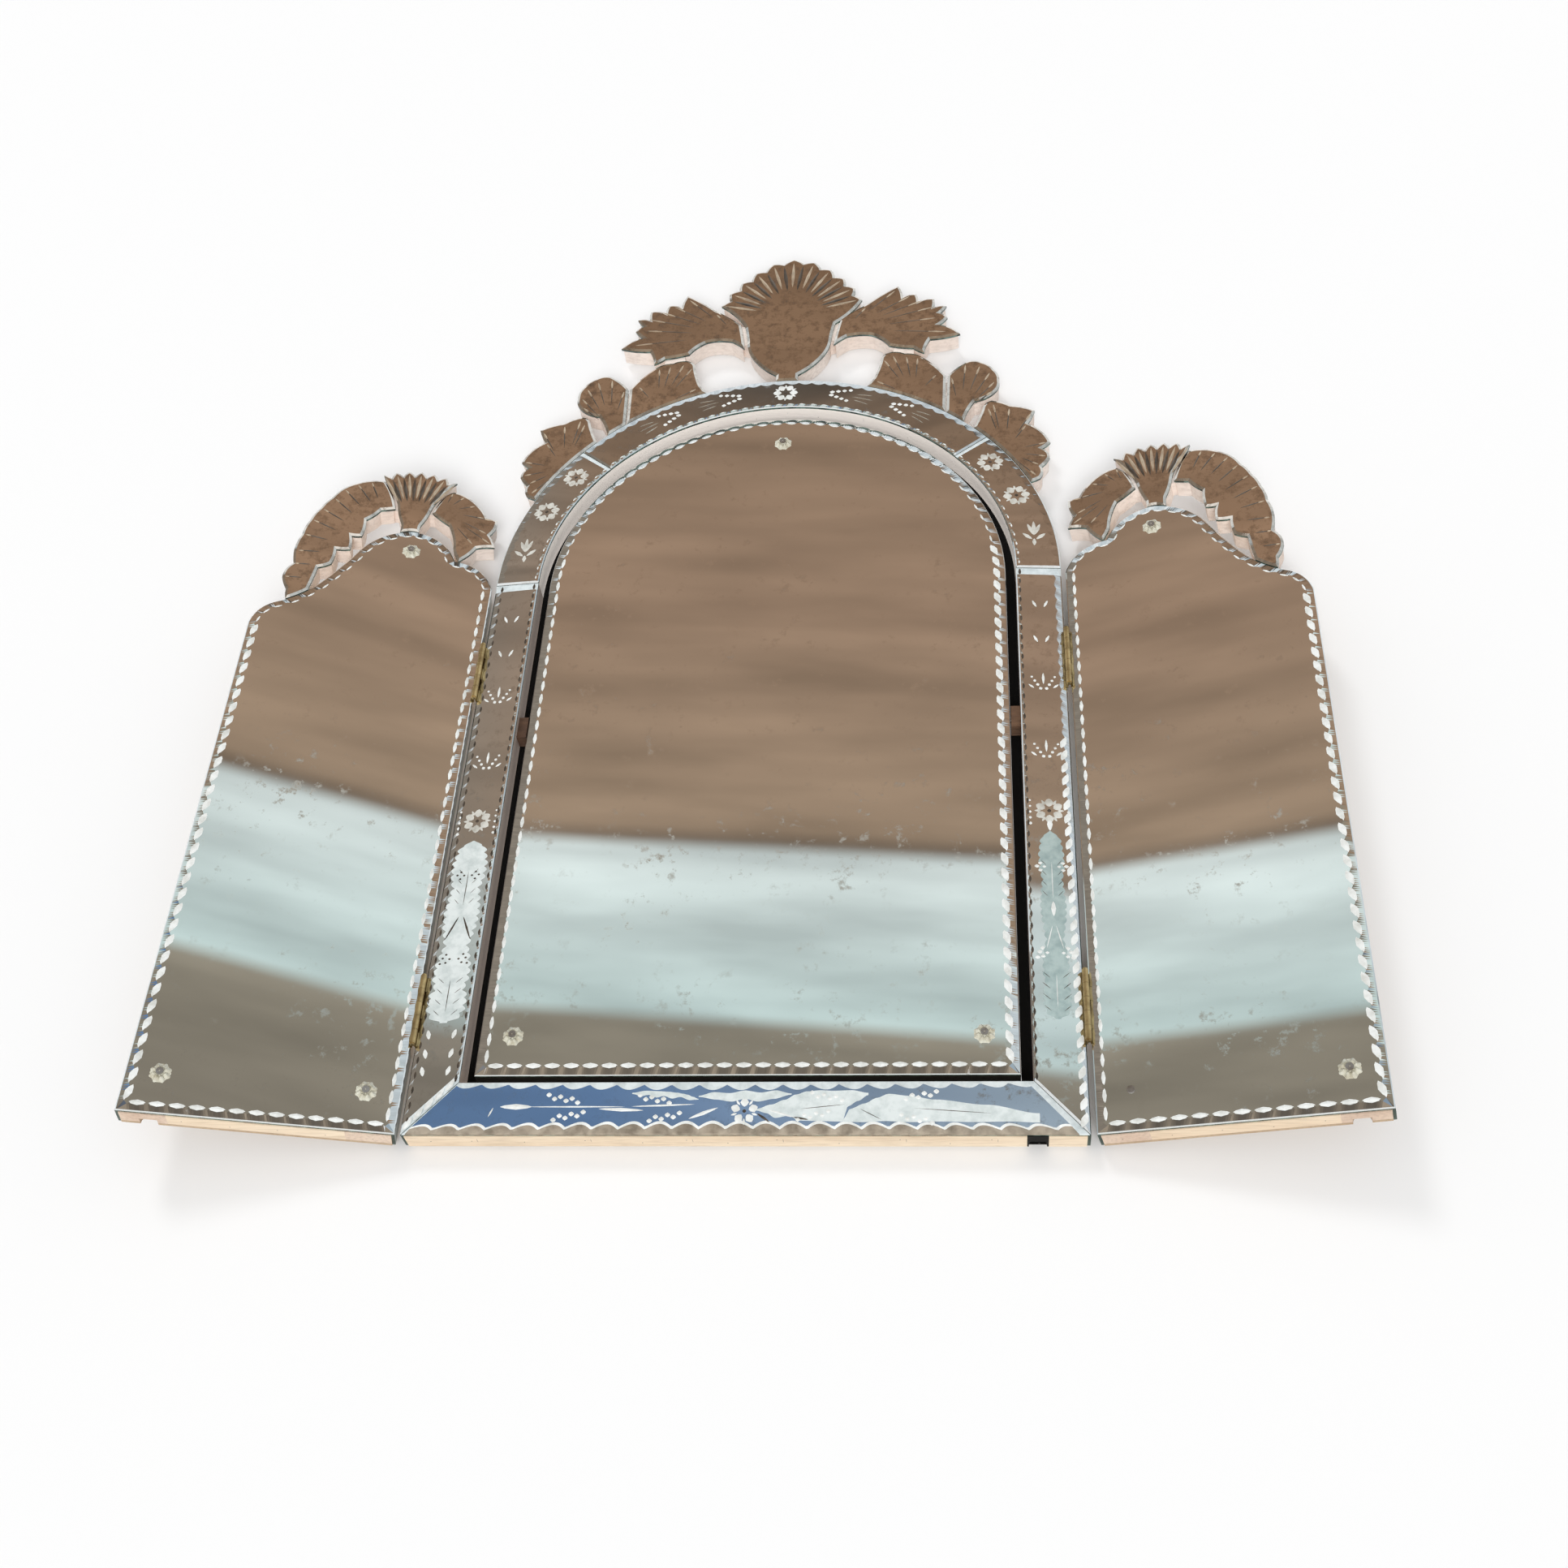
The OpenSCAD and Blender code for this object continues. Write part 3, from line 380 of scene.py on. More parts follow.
glass_thick = 0.004
plate_glass = silvered("plate_mirror", (0.82, 0.84, 0.83), (0.5, 0.42, 0.33), 0.03, 0.4)
strip_glass = silvered("strip_mirror", (0.78, 0.8, 0.8), (0.4, 0.33, 0.25), 0.04, 0.7, 0.3)
crest_glass = silvered("crest_mirror", (0.78, 0.73, 0.66), (0.26, 0.2, 0.15), 0.06, 1.0, 0.75)
edge = Finish("cut_edge")
chips = edge.ramp(edge.noise(120.0, 2.0), (0.4, 0), (0.65, 1))
edge_glass = edge.shade(("Base Color", edge.mix(chips, (0.02, 0.036, 0.028), (0.13, 0.2, 0.17))),
                        ("Roughness", 0.2), ("Specular IOR Level", 0.8))
back = Finish("backing_paint")
backing = back.shade(
    ("Base Color", back.mix(back.noise(30.0, 4.0), (0.2, 0.19, 0.18), (0.34, 0.32, 0.3))),
    ("Roughness", 0.8))
# Where each body's own plane lies. The wings stand folded forward by 12 degrees on their hinges.
hinge_line = Matrix.Translation((0.312, -0.017, 0)) @ Matrix.Rotation(math.radians(-12), 4, "Z")
right_place = hinge_line @ Matrix.Translation((0.002, 0.017, 0))
places = {"centre_frame": Matrix(), "swing_mirror": Matrix(), "wing_right": right_place,
          "wing_left": Matrix.Diagonal((-1, 1, 1, 1)) @ right_place}


class Run:
    """A smooth stretch of an outline between two sharp corners, measured along its length."""

    def __init__(self, points, turn_in, turn_out):
        self.turn_in, self.turn_out = turn_in, turn_out
        chords = [(b - a) for a, b in zip(points, points[1:])]
        slopes = [chords[0].normalized()]
        for a, b in zip(chords, chords[1:]):
            short, long = sorted((a, b), key=lambda c: c.length)
            blend = a.normalized() * b.length + b.normalized() * a.length
            slopes.append((long if long.length > 4 * short.length else blend).normalized())
        slopes.append(chords[-1].normalized())
        self.line = []
        for p, q, u, v, chord in zip(points, points[1:], slopes, slopes[1:], chords):
            steps = max(1, int(chord.length / 0.001))
            for i in range(steps):
                t, size = i / steps, chord.length
                self.line.append(p * (2 * t**3 - 3 * t**2 + 1) + u * size * (t**3 - 2 * t**2 + t)
                                 + q * (3 * t**2 - 2 * t**3) + v * size * (t**3 - t**2))
        self.line.append(points[-1])
        self.marks = [0.0]
        for a, b in zip(self.line, self.line[1:]):
            self.marks.append(self.marks[-1] + (b - a).length)
        self.length = self.marks[-1]

    def at(self, s):
        """The point and the direction at distance s, or beyond either end."""
        i = min(max(bisect.bisect_right(self.marks, s) - 1, 0), len(self.line) - 2)
        step = self.line[i + 1] - self.line[i]
        direction = step.normalized()
        return self.line[i] + direction * (s - self.marks[i]), direction


def runs_round(loop):
    """The runs of a closed outline that goes anticlockwise, seen from the front."""
    count = len(loop)
    turns = []
    for i in range(count):
        a, b = loop[i] - loop[i - 1], loop[(i + 1) % count] - loop[i]
        turns.append(math.atan2(a.x * b.y - a.y * b.x, a.dot(b)))
    corners = [i for i, turn in enumerate(turns) if abs(turn) > math.radians(25)] or [0]
    return [Run([loop[k % count] for k in range(a, b + 1)], turns[a], turns[b % count])
            for a, b in zip(corners, corners[1:] + [corners[0] + count])]


def front_outlines(name, body):
    """The outlines of a CAD node's front faces in (across, up), in its body's own plane."""
    place = places[body]
    mesh = bmesh.new()
    mesh.from_mesh(nodes[name].data)
    mesh.transform(place.inverted())
    if place.determinant() < 0:
        bmesh.ops.reverse_faces(mesh, faces=mesh.faces[:])
    bmesh.ops.remove_doubles(mesh, verts=mesh.verts[:], dist=1e-5)
    mesh.normal_update()
    following = {}
    for face in mesh.faces:
        for loop in face.loops if face.normal.y < -0.99 else ():
            if sum(f.normal.y < -0.99 for f in loop.edge.link_faces) == 1:
                following[loop.vert] = loop.link_loop_next.vert
    outlines = []
    while following:
        vert = next(iter(following))
        points = []
        while vert in following:
            points.append(Vector((vert.co.x, vert.co.z)))
            vert = following.pop(vert)
        outlines.append(points)
    mesh.free()
    return [o for o in outlines if max(p.x for p in o) - min(p.x for p in o) > 0.01]


def ring_inside(runs, inset, fine, pitch=0.0, scallop=0.0):
    """A line that keeps inset inside an outline, waved by scallops, and a mark for each scallop."""
    ring, marks = [], []
    for run in runs:
        first = inset * math.tan(run.turn_in / 2)
        last = inset * math.tan(run.turn_out / 2)
        taken = max(first, 0) + max(last, 0)
        if taken > 0.9 * run.length:
            first, last = (end * 0.9 * run.length / taken for end in (first, last))
        clear = run.length - first - last
        waves = max(1, round(clear / pitch)) if pitch else 0
        steps = max(2, math.ceil(run.length / fine))
        for k in range(steps):
            s = min(max(run.length * k / steps, first), run.length - max(last, 0)) if k else first
            wave = abs(math.sin(math.pi * waves * (s - first) / clear)) if waves else 1
            spot, along = run.at(s)
            ring.append(spot + Vector((-along.y, along.x)) * (inset - scallop * (1 - wave)))
        for k in range(waves):
            spot, along = run.at(first + (k + 0.5) / waves * clear)
            inward = Vector((-along.y, along.x))
            marks.append((spot + inward * (inset - scallop * 0.25), along, clear / waves))
    # Small loops that form in sharp corners are drawn in to where the line crosses itself
    count = len(ring)
    for i in range(count):
        for reach in range(8, 1, -1):
            a, b, c, d = (ring[(i + k) % count] for k in (0, 1, reach, reach + 1))
            cross = intersect_line_line_2d(a, b, c, d) if a != b and c != d else None
            if cross:
                for k in range(1, reach + 1):
                    ring[(i + k) % count] = cross
                break
    return ring, marks


def bevelled(loops, front, width, drop, pitch=0.0, scallop=0.0, arris=0.0):
    """Glass cut to outlines, with a bevel round its front whose inner line is scalloped, and a
    narrow arris outside it. Gives points, faces, each face's finish, and the scallops' marks."""
    points, faces, kinds, marks = [], [], [], []
    fine = 0.0022 if pitch else 0.003
    for loop in loops:
        runs = runs_round(loop)
        outer = ring_inside(runs, 0, fine)[0]
        inner, scallops = ring_inside(runs, width, fine, pitch, scallop)
        marks += scallops
        rings = [(outer, front + glass_thick), (outer, front + drop + 0.8 * arris), (inner, front)]
        if arris:
            rings.insert(2, (ring_inside(runs, arris, fine)[0], front + drop))
        count = len(outer)
        base = len(points)
        for ring, y in rings:
            points += [(p.x, y, p.y) for p in ring]
        for step in range(len(rings) - 1):
            low, high = base + step * count, base + (step + 1) * count
            for i in range(count):
                j = (i + 1) % count
                faces.append((low + i, low + j, high + j, high + i))
                kinds.append(0 if step else 1)
        faces += [tuple(range(high, high + count)), tuple(reversed(range(base, base + count)))]
        kinds += [0, 2]
    return points, faces, kinds, marks


def glass_piece(name, shape, silver, body, replaced, extra=()):
    """Makes the piece from points, faces and kinds, and puts it in place of a CAD node."""
    points, faces, kinds = shape[:3]
    piece = new_object(name, points, faces, silver, edge_glass, backing, *extra)
    piece.data.polygons.foreach_set("material_index", kinds)
    with reworked(piece) as mesh:
        bmesh.ops.remove_doubles(mesh, verts=mesh.verts[:], dist=2e-6)
        bmesh.ops.dissolve_degenerate(mesh, edges=mesh.edges[:], dist=1e-6)
        bmesh.ops.triangulate(mesh, faces=[f for f in mesh.faces if len(f.verts) > 4],
                              ngon_method="EAR_CLIP")
        mesh.transform(places[body])
        if places[body].determinant() < 0:
            bmesh.ops.reverse_faces(mesh, faces=mesh.faces[:])
    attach(piece, body)
    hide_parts(replaced)
    return piece


# Cuts in the glass.
# The wheel-cut decoration: short lens-shaped cuts, ground white or polished clear. One node tree
# sets a lens at every mark, turned along the mark's own direction and tilted to its surface.
def lens_tree():
    tree = bpy.data.node_groups.new("wheel_cuts", "GeometryNodeTree")
    for label, way, kind, value in (
            ("Marks", "INPUT", "Geometry", None), ("Facets", "INPUT", "Int", 8),
            ("Pointed", "INPUT", "Float", 0.5), ("Sunk", "INPUT", "Float", 0.0001),
            ("Finish", "INPUT", "Material", None), ("Cuts", "OUTPUT", "Geometry", None)):
        made = tree.interface.new_socket(label, in_out=way, socket_type="NodeSocket" + kind)
        if value is not None:
            made.default_value = value
    node = partial(add_node, tree)

    def calc(operation, a, b):
        return node("ShaderNodeMath", (0, a), (1, b), operation=operation)

    def kept(label):
        return node("GeometryNodeInputNamedAttribute", ("Name", label), data_type="FLOAT_VECTOR")

    given = node("NodeGroupInput").outputs
    cone = node("GeometryNodeMeshCone", ("Vertices", given["Facets"]), ("Radius Top", 0.0),
                ("Radius Bottom", 1.0), ("Depth", 1.0))
    x, y, z = node("ShaderNodeSeparateXYZ", (0, node("GeometryNodeInputPosition"))).outputs
    waist = calc("SUBTRACT", 1.0, calc("MULTIPLY", calc("MULTIPLY", x, x), given["Pointed"]))
    slim = node("ShaderNodeCombineXYZ", (0, x), (1, calc("MULTIPLY", y, waist)), (2, z))
    lens = node("GeometryNodeSetPosition", ("Geometry", cone), ("Position", slim))
    turned = node("FunctionNodeAlignRotationToVector", ("Vector", kept("out")), axis="Z")
    turned = node("FunctionNodeAlignRotationToVector", ("Rotation", turned),
                  ("Vector", kept("along")), axis="X", pivot_axis="Z")
    sunk = node("ShaderNodeVectorMath", (0, kept("out")),
                ("Scale", calc("MULTIPLY", given["Sunk"], -1.0)), operation="SCALE")
    set_in = node("GeometryNodeSetPosition", ("Geometry", given["Marks"]), ("Offset", sunk))
    placed = node("GeometryNodeInstanceOnPoints", ("Points", set_in), ("Instance", lens),
                  ("Rotation", turned), ("Scale", kept("size")))
    real = node("GeometryNodeRealizeInstances", ("Geometry", placed))
    done = node("GeometryNodeSetMaterial", ("Geometry", real), ("Material", given["Finish"]))
    node("NodeGroupOutput", (0, done))
    return tree


lens_cuts = lens_tree()


def lens_piece(name, marks, finish, body, facets=8, pointed=0.5):
    """Makes one piece with a lens, as a cut, a petal or a nail head, at each mark (spot, along,
    out, length, width, rise)."""
    place = places[body]
    turn = place.to_3x3()
    piece = new_object(name, [place @ Vector(m[0]) for m in marks], [])
    for label, values in (("along", [turn @ Vector(m[1]) for m in marks]),
                          ("out", [turn @ Vector(m[2]) for m in marks]),
                          ("size", [(m[3] / 2, m[4] / 2, m[5]) for m in marks])):
        stored = piece.data.attributes.new(label, "FLOAT_VECTOR", "POINT")
        stored.data.foreach_set("vector", [c for v in values for c in v])
    modifier = piece.modifiers.new("wheel_cuts", "NODES")
    modifier.node_group = lens_cuts
    given = {"Facets": facets, "Pointed": pointed, "Finish": finish}
    for item in lens_cuts.interface.items_tree:
        if item.name in given:
            modifier[item.identifier] = given[item.name]
    bpy.context.view_layer.update()
    made = piece.evaluated_get(bpy.context.evaluated_depsgraph_get())
    mesh = bpy.data.meshes.new_from_object(made)
    piece.modifiers.clear()
    piece.data = mesh
    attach(piece, body)
    return piece


def frosting(name, white, shadow, rough, shine):
    """Glass cut by the wheel: ground white where rough, bright where polished."""
    ground = Finish(name)
    patches = ground.ramp(ground.noise(90.0, 3.0, 0.6), (0.4, 0), (0.7, 1))
    return ground.shade(("Base Color", ground.mix(patches, white, shadow)),
                        ("Metallic", shine), ("Roughness", rough),
                        ("Normal", ground.bump(ground.noise(900.0, 2.0), 0.0001, 0.5)))


# The white ground finish is the engraving's real frosting, and also painted highlight on polished
# cuts
frost_and_highlight_cut = frosting("frost_and_highlight_cut", (0.9, 0.92, 0.9), (0.68, 0.69, 0.65), 0.4, 0.1)
polished_cut = frosting("polished_cut", (0.66, 0.6, 0.5), (0.4, 0.34, 0.27), 0.16, 0.9)
pale_cut = frosting("pale_cut", (0.76, 0.75, 0.69), (0.5, 0.48, 0.42), 0.34, 0.2)
dark_cut = frosting("dark_cut", (0.15, 0.12, 0.095), (0.07, 0.06, 0.048), 0.2, 0.6)
facing = Vector((0, -1, 0))


# Swing mirror.
# An arched mirror plate on its board, with a wide bevel and a rope of lens cuts along it, held by
# three screws under cream glass flowers.
def rope(marks, front, width):
    """The lens cuts that follow a scalloped bevel: broad along the foot, broad and slanting up the
    right-hand side, which is a wing's outer side, and small over the top."""
    cuts = []
    rise = 0.0007
    for p, along, pitch in marks:
        broad, long, slant = 0.85, 0.96, 0
        if along.x > 0.9:
            broad, long = 1.15, 1.0
        elif along.x < -0.2:
            broad, long = 0.5, 0.6
        elif along.y > 0.9:
            broad, long, slant = 1.55, 1.02, 17
        turned = Matrix.Rotation(math.radians(slant), 2) @ along
        cuts.append(((p.x, front, p.y), (turned.x, 0, turned.y), facing, pitch * long,
                     width * broad, rise))
    return cuts


def plate(name, body, front, width, drop, arris, cut_width):
    """A mirror plate with a scalloped bevel and a rope of cuts along it."""
    pitch, scallop = 0.0175, 0.003
    outlines = front_outlines(f"{name}_glass", body)
    shape = bevelled(outlines, front, width, drop, pitch, scallop, arris)
    glass_piece(f"{name}_plate", shape, plate_glass, body, f"{name}_glass")
    # The rope's polished cuts get the white ground finish, as painted highlight
    lens_piece(f"{name}_plate_cuts", rope(shape[3], front, cut_width), frost_and_highlight_cut, body)


plate_front = -0.009
plate("swing", "swing_mirror", plate_front, 0.0105, 0.0016, 0.0009, 0.0052)

# Wing mirrors.
# Each wing is one plate with an ogee top, bevelled and cut as the swing mirror is.
glass_front = -0.014
for wing in wings:
    plate(wing, wing, glass_front, 0.0095, 0.0011, 0.0011, 0.005)


# Crest glass.
# Shells and leaves cut from mirror with a narrow polished bevel, each on its own wood.
def crest_piece(name, node_name, body, width, drop):
    shape = bevelled(front_outlines(node_name, body), glass_front, width, drop)
    glass_piece(name, shape, crest_glass, body, node_name)


for label, node_name in (
        ("shell", "crest_shell_glass"), ("leaf_left", "crest_leaf_glass_left"),
        ("leaf_right", "crest_leaf_glass_right"), ("lower_leaf_left", "crest_lower_glass_left"),
        ("lower_leaf_right", "crest_lower_glass_right"), ("haunch_leaves", "haunch_leaf_glass")):
    crest_piece(f"crest_{label}", node_name, "centre_frame", 0.003, 0.0015)
for wing in wings:
    for label in ("shell", "leaf"):
        crest_piece(f"{wing}_{label}", f"{wing}_{label}_glass", wing, 0.0027, 0.0014)

# Mirror strips of the centre frame.
# Bevelled strips bedded on the sloping front of the wood: one along the bottom with mitred ends,
# two up the sides, two on the haunches and one over the crown, scalloped along both edges.
sides = {"left": -1, "right": 1}
strip_w, rail_top, frame_half, strip_arris = 0.048, 0.051, 0.31, 0.0011
strip_rise = 0.0034  # how much further forward a strip's inner edge stands than its outer edge
inner_half = frame_half - strip_w
# Painted highlight on pale bevel faces, and painted reflection in brown along the bottom strip's
# outer bevel
bevel_highlight = frosting("painted_bevel_highlight", (0.83, 0.9, 0.91), (0.6, 0.67, 0.68), 0.25, 0.22)
foot_reflection = frosting("painted_foot_reflection", (0.5, 0.43, 0.34), (0.26, 0.22, 0.17), 0.22, 0.6)


def slope(x, z):
    """How far forward the front of the strips stands at a point of the frame."""
    across = abs(x) if z < spring_z else math.hypot(x, z - spring_z)
    share = min((frame_half - across) / strip_w, z / rail_top if z < rail_top else 1)
    return glass_front - strip_rise * max(share, 0)


def lean(x, z):
    """The way that a strip faces there."""
    step = 0.001
    return Vector(((slope(x + step, z) - slope(x - step, z)) / (2 * step), -1,
                   (slope(x, z + step) - slope(x, z - step)) / (2 * step))).normalized()


def face_outwards(piece):
    with reworked(piece) as mesh:
        bmesh.ops.recalc_face_normals(mesh, faces=mesh.faces[:])


def strip(name, outer, inner, pitches, widths, deep, drop, ends, bright):
    """A strip between two edges, given as functions from the share t of its length to a point.
    pitches, widths and deep are those of the outer and inner edge's scallops, and ends and bright
    the width of each end's bevel and whether that bevel gets a painted highlight. Gives the
    scallops' marks."""
    low = name == "strip_bottom"
    points, faces, kinds, marks = [], [], [], []
    lengths = [sum((edge((k + 1) / 60) - edge(k / 60)).length for k in range(60))
               for edge in (outer, inner)]
    waves = [round(length / pitch) for length, pitch in zip(lengths, pitches)]
    steps = math.ceil(lengths[0] / 0.002)
    first, last = ends[0] / lengths[0], 1 - ends[1] / lengths[0]
    stops = {0, first, last, 1} | {k / steps for k in range(1, steps) if first < k / steps < last}
    rim, inner_drop = 0.0026 if low else 0.0008, 0.0007
    for t in sorted(stops):
        a, b = outer(t), inner(t)
        inward = (b - a).normalized()
        wide, narrow = (w - d * (1 - abs(math.sin(math.pi * n * t)))
                        for w, d, n in zip(widths, deep, waves))
        fallen = 0.0018 if t in (0, 1) else 0
        row = [(a, drop + 0.8 * strip_arris), (a + inward * strip_arris, drop),
               (a + inward * (wide - rim), drop * rim / wide), (a + inward * wide, 0),
               ((a + b) / 2, 0), (b - inward * narrow, 0), (b - inward * strip_arris, inner_drop),
               (b, inner_drop + 0.8 * strip_arris)]
        points += [(p.x, slope(p.x, p.y) + max(d, fallen), p.y) for p, d in row]
        points += [(p.x, slope(p.x, p.y) + glass_thick, p.y) for p in (b, a)]
    # The finishes across the front, from the outer edge, then those of the edges and the back.
    # Finish 3 is painted highlight: on the arch strips' outer arris, the bottom strip's inner bevel
    # and the ends that shine. Along the bottom strip's outer bevel, 4 is painted reflection and 5 a
    # white band of painted highlight by the scallops.
    plain = (0,) * 7 if name[6:] in sides else (3,) + (0,) * 6
    across = (4, 4, 5, 0, 0, 3, 3) if low else plain
    round_it = across + (1, 2, 1)
    size, spans = len(round_it), len(stops) - 1
    for r in range(spans):
        # A bright end's bevel gets the painted highlight
        highlit_end = bright[0] and r == 0 or bright[1] and r == spans - 1
        for k, kind in enumerate(round_it):
            here, after = size * r + k, size * r + (k + 1) % size
            faces.append((here, after, after + size, here + size))
            kinds.append(3 if highlit_end and k < len(across) else kind)
    faces += [tuple(reversed(range(size))), tuple(range(size * spans, size * spans + size))]
    kinds += [1, 1]
    for at, other, n, w, d in zip((outer, inner), (inner, outer), waves, widths, deep):
        for k in range(n):
            p = at((k + 0.5) / n)
            p += (other((k + 0.5) / n) - p).normalized() * (w - 0.3 * d)
            along = at((k + 0.7) / n) - at((k + 0.3) / n)
            marks.append((p, math.degrees(math.atan2(along.y, along.x)), at is outer))
    face_outwards(glass_piece(f"{name}_bevelled", (points, faces, kinds), strip_glass,
                              "centre_frame", name,
                              (bevel_highlight, foot_reflection, frost_and_highlight_cut)))
    return marks


def on_arch(turn, r):
    """A point of the arch, turn degrees from the right-hand end of its spring."""
    return Vector(heading(turn, r)) + Vector((0, spring_z))


# Four lists of cuts for the strips: ground white, polished clear, pale and dark
white, clear, pale, dark = [], [], [], []


def mark(kind, x, z, angle, length, width, rise=0.0006):
    """Adds a cut on a strip, turned by angle from the horizontal."""
    run, climb = heading(angle)
    kind.append(((x, slope(x, z), z), (run, 0, climb), lean(x, z), length, width, rise))


def straight(x, z, across, rise):
    return lambda t: Vector((x + across * t, z + rise * t))


def arc(first, sweep):
    """The outer and the inner edge of a strip on the arch."""
    return [lambda t, r=r: on_arch(first + sweep * t, r) for r in (frame_half, inner_half)]


# As angles on the arch: half the gap of 0.8 mm between two strips, and the reach of a haunch
joint, haunch = 0.074, 41
fine_edge = (0.0155, 0.013), (0.0085, 0.0045), (0.003, 0.0016)
strips = {"strip_bottom": (
    straight(-0.309, 0.001, 0.618, 0), straight(-inner_half, rail_top, 2 * inner_half, 0),
    (0.0246, 0.0246), (0.0125, 0.0085), (0.0055, 0.0052), 0.0016, (0.003, 0.009), (True, True))}
for side, sign in sides.items():
    on_left = side == "left"
    strips[f"strip_{side}"] = (
        straight(sign * frame_half, 0.0008, 0, spring_z - 0.0012),
        straight(sign * inner_half, 0.0518, 0, spring_z - 0.0522),
        *fine_edge, 0.0012, (0.009 if on_left else 0.003, 0.011), (on_left, True))
    strips[f"strip_haunch_{side}"] = (
        *arc(180 - joint if on_left else joint, sign * (haunch - 2 * joint)),
        *fine_edge, 0.0004, (0.002, 0.006), (False, True))
strips["strip_crown"] = (*arc(haunch + joint, 180 - 2 * haunch - 2 * joint),
                         *fine_edge, 0.0004, (0.002, 0.002), (False, False))
for name, plan in strips.items():
    for spot, angle, at_outer in strip(name, *plan):
        if name == "strip_bottom":
            continue
        # The scallop cuts are alike all round: the white ones are painted highlight and the dark
        # ones painted reflection, by where they lie on the frame
        if at_outer and spot.x > 0 and spot.y < 0.44:
            mark(white, *spot, angle - 20, 0.0155, 0.0072, 0.0009)
        elif spot.y < spring_z and (spot.x < 0 or not at_outer):
            mark(dark, *spot, angle, 0.0088, 0.003, 0.0004)
        elif not at_outer:
            mark(white, *spot, angle, 0.0052, 0.0021, 0.0004)


# Engraving on the strips.
# Flowers, dotted sprays, drops and stems, ground white with the wheel and much the same on both
# sides of the frame.
def flower(kind, x, z, size, turn=30, petals=6):
    """Petals round a clear centre, with a point between each two."""
    for k in range(petals):
        for part, reach, length, width in ((0, 0.62, 0.76, 0.7), (0.5, 0.72, 0.5, 0.2)):
            angle = turn + (k + part) * 360 / petals
            across, climb = heading(angle, reach * size)
            mark(kind, x + across, z + climb, angle, length * size, width * size)
    mark(dark, x, z, 0, 0.4 * size, 0.4 * size, 0.0003)


def dots(x, z, angle, count, pitch, size):
    """A row of round cuts that dwindle, from (x, z) on."""
    for k in range(count):
        across, climb = heading(angle, k * pitch)
        mark(white, x + across, z + climb, angle, *[size * (1 - 0.08 * k)] * 2, 0.0005)


def pair(kind, x, z, off, angle, *size):
    """A cut off to either side of x. The two lean apart, each by angle from the upright."""
    for way in (-1, 1):
        mark(kind, x + way * off, z, 90 - way * angle, *size)


middle = (frame_half + inner_half) / 2
for sign in (-1, 1):
    x = sign * middle
    for z in (0.608, 0.56):
        pair(white, x, z, 0.006, 25, 0.012, 0.0036)
    for z in (0.503, 0.417):
        for way in (-1, 1):
            dots(x + way * 0.003, z - 0.009, 90 - way * 30, 4, 0.0058, 0.0048)
        pair(white, x, z - 0.006, 0.0125, 50, 0.009, 0.003)
        mark(white, x, z + 0.004, 90, 0.018, 0.0034)
    flower(pale, x, 0.342, 0.0155)
    for way in (-1, 1):
        dots(x + way * 0.0185, 0.327, 90, 5, 0.0068, 0.0042)
    # Veins and dots in the two frosted leaves, and drops below them. The left-hand leaves are
    # ground white with dark dots, the right-hand ones polished with white dots.
    on, dot, out = (dark, (0.0042, 0.0038), 0) if sign < 0 else (white, (0.0058, 0.0048), 0.003)
    for dx, z in ((0.004, 0.277), (0.0075, 0.273), (0.011, 0.2775), (0.0075, 0.281),
                  (0.0045, 0.182), (0.008, 0.178), (0.0115, 0.183), (0.0085, 0.187),
                  (0.0135, 0.177)):
        for way in (-1, 1):
            mark(on, x + way * (dx + out), z, 0, *dot)
    for z, length in ((0.142, 0.052), (0.262, 0.06)):
        mark(on, x, z, 90, length, 0.0014, 0.0007)
    for k in range(4):
        pair(dark, x, 0.124 + 0.0115 * k, 0.009, 48, 0.014, 0.0011)
        pair(dark, x, 0.247 + 0.0115 * k, 0.0075, 40, 0.012, 0.001)
    if sign < 0:
        pair(dark, x, 0.2165, 0.0075, -22, 0.042, 0.003, 0.0007)
        for z in (0.101, 0.081, 0.063):
            pair(white, x, z, 0.0125, 14, 0.0125, 0.0056)
    else:
        pair(white, x, 0.199, 0.0048, -14, 0.038, 0.0018, 0.0007)
        for z, length in ((0.326, 0.017), (0.23, 0.022)):
            mark(white, x, z, 90, length, 0.0062, 0.0009)
# A rope of cuts along the left-hand mitre
for k in range(5):
    share = (k + 0.6) / 5.4
    mark(white, -0.3095 + 0.047 * share, 0.0055 + 0.0505 * share, 62, 0.0145, 0.0058, 0.0009)

# The bottom strip has a flower in the middle, with drops, clusters of dots and dark stems
flower(white, 0.004, 0.0225, 0.0135, 18, 5)
for cut in ((-0.205, 0.0268, 0, 0.036, 0.0066), (-0.15, 0.0268, 0, 0.11, 0.0018),
            (-0.108, 0.024, -2, 0.05, 0.0042), (-0.07, 0.028, 2, 0.07, 0.0022),
            (-0.033, 0.0205, 22, 0.034, 0.0042), (-0.228, 0.0215, 66, 0.012, 0.002),
            (0.036, 0.0205, -16, 0.036, 0.0036)):
    mark(white, *cut)
for x, z, way in ((-0.162, 0.036, -1), (-0.156, 0.0165, 1), (-0.068, 0.0155, 1),
                  (-0.078, 0.0355, -1), (0.078, 0.0375, -1), (0.066, 0.017, 1),
                  (0.162, 0.0355, 1), (0.158, 0.0165, -1)):
    for k in range(6):
        mark(white, x + (k - 2.5) * 0.0054, z + way * (0.003 * (k % 2) + 0.0009 * (k - 2.5)), 0,
             0.0058, 0.0052, 0.0009)
for cut in ((0.117, 0.0195, -28, 0.036, 0.0012), (0.074, 0.0265, 6, 0.064, 0.0011),
            (0.19, 0.0225, -4, 0.11, 0.0011), (0.055, 0.0155, -10, 0.022, 0.0032),
            (0.021, 0.0165, -35, 0.016, 0.003)):
    mark(dark, *cut)

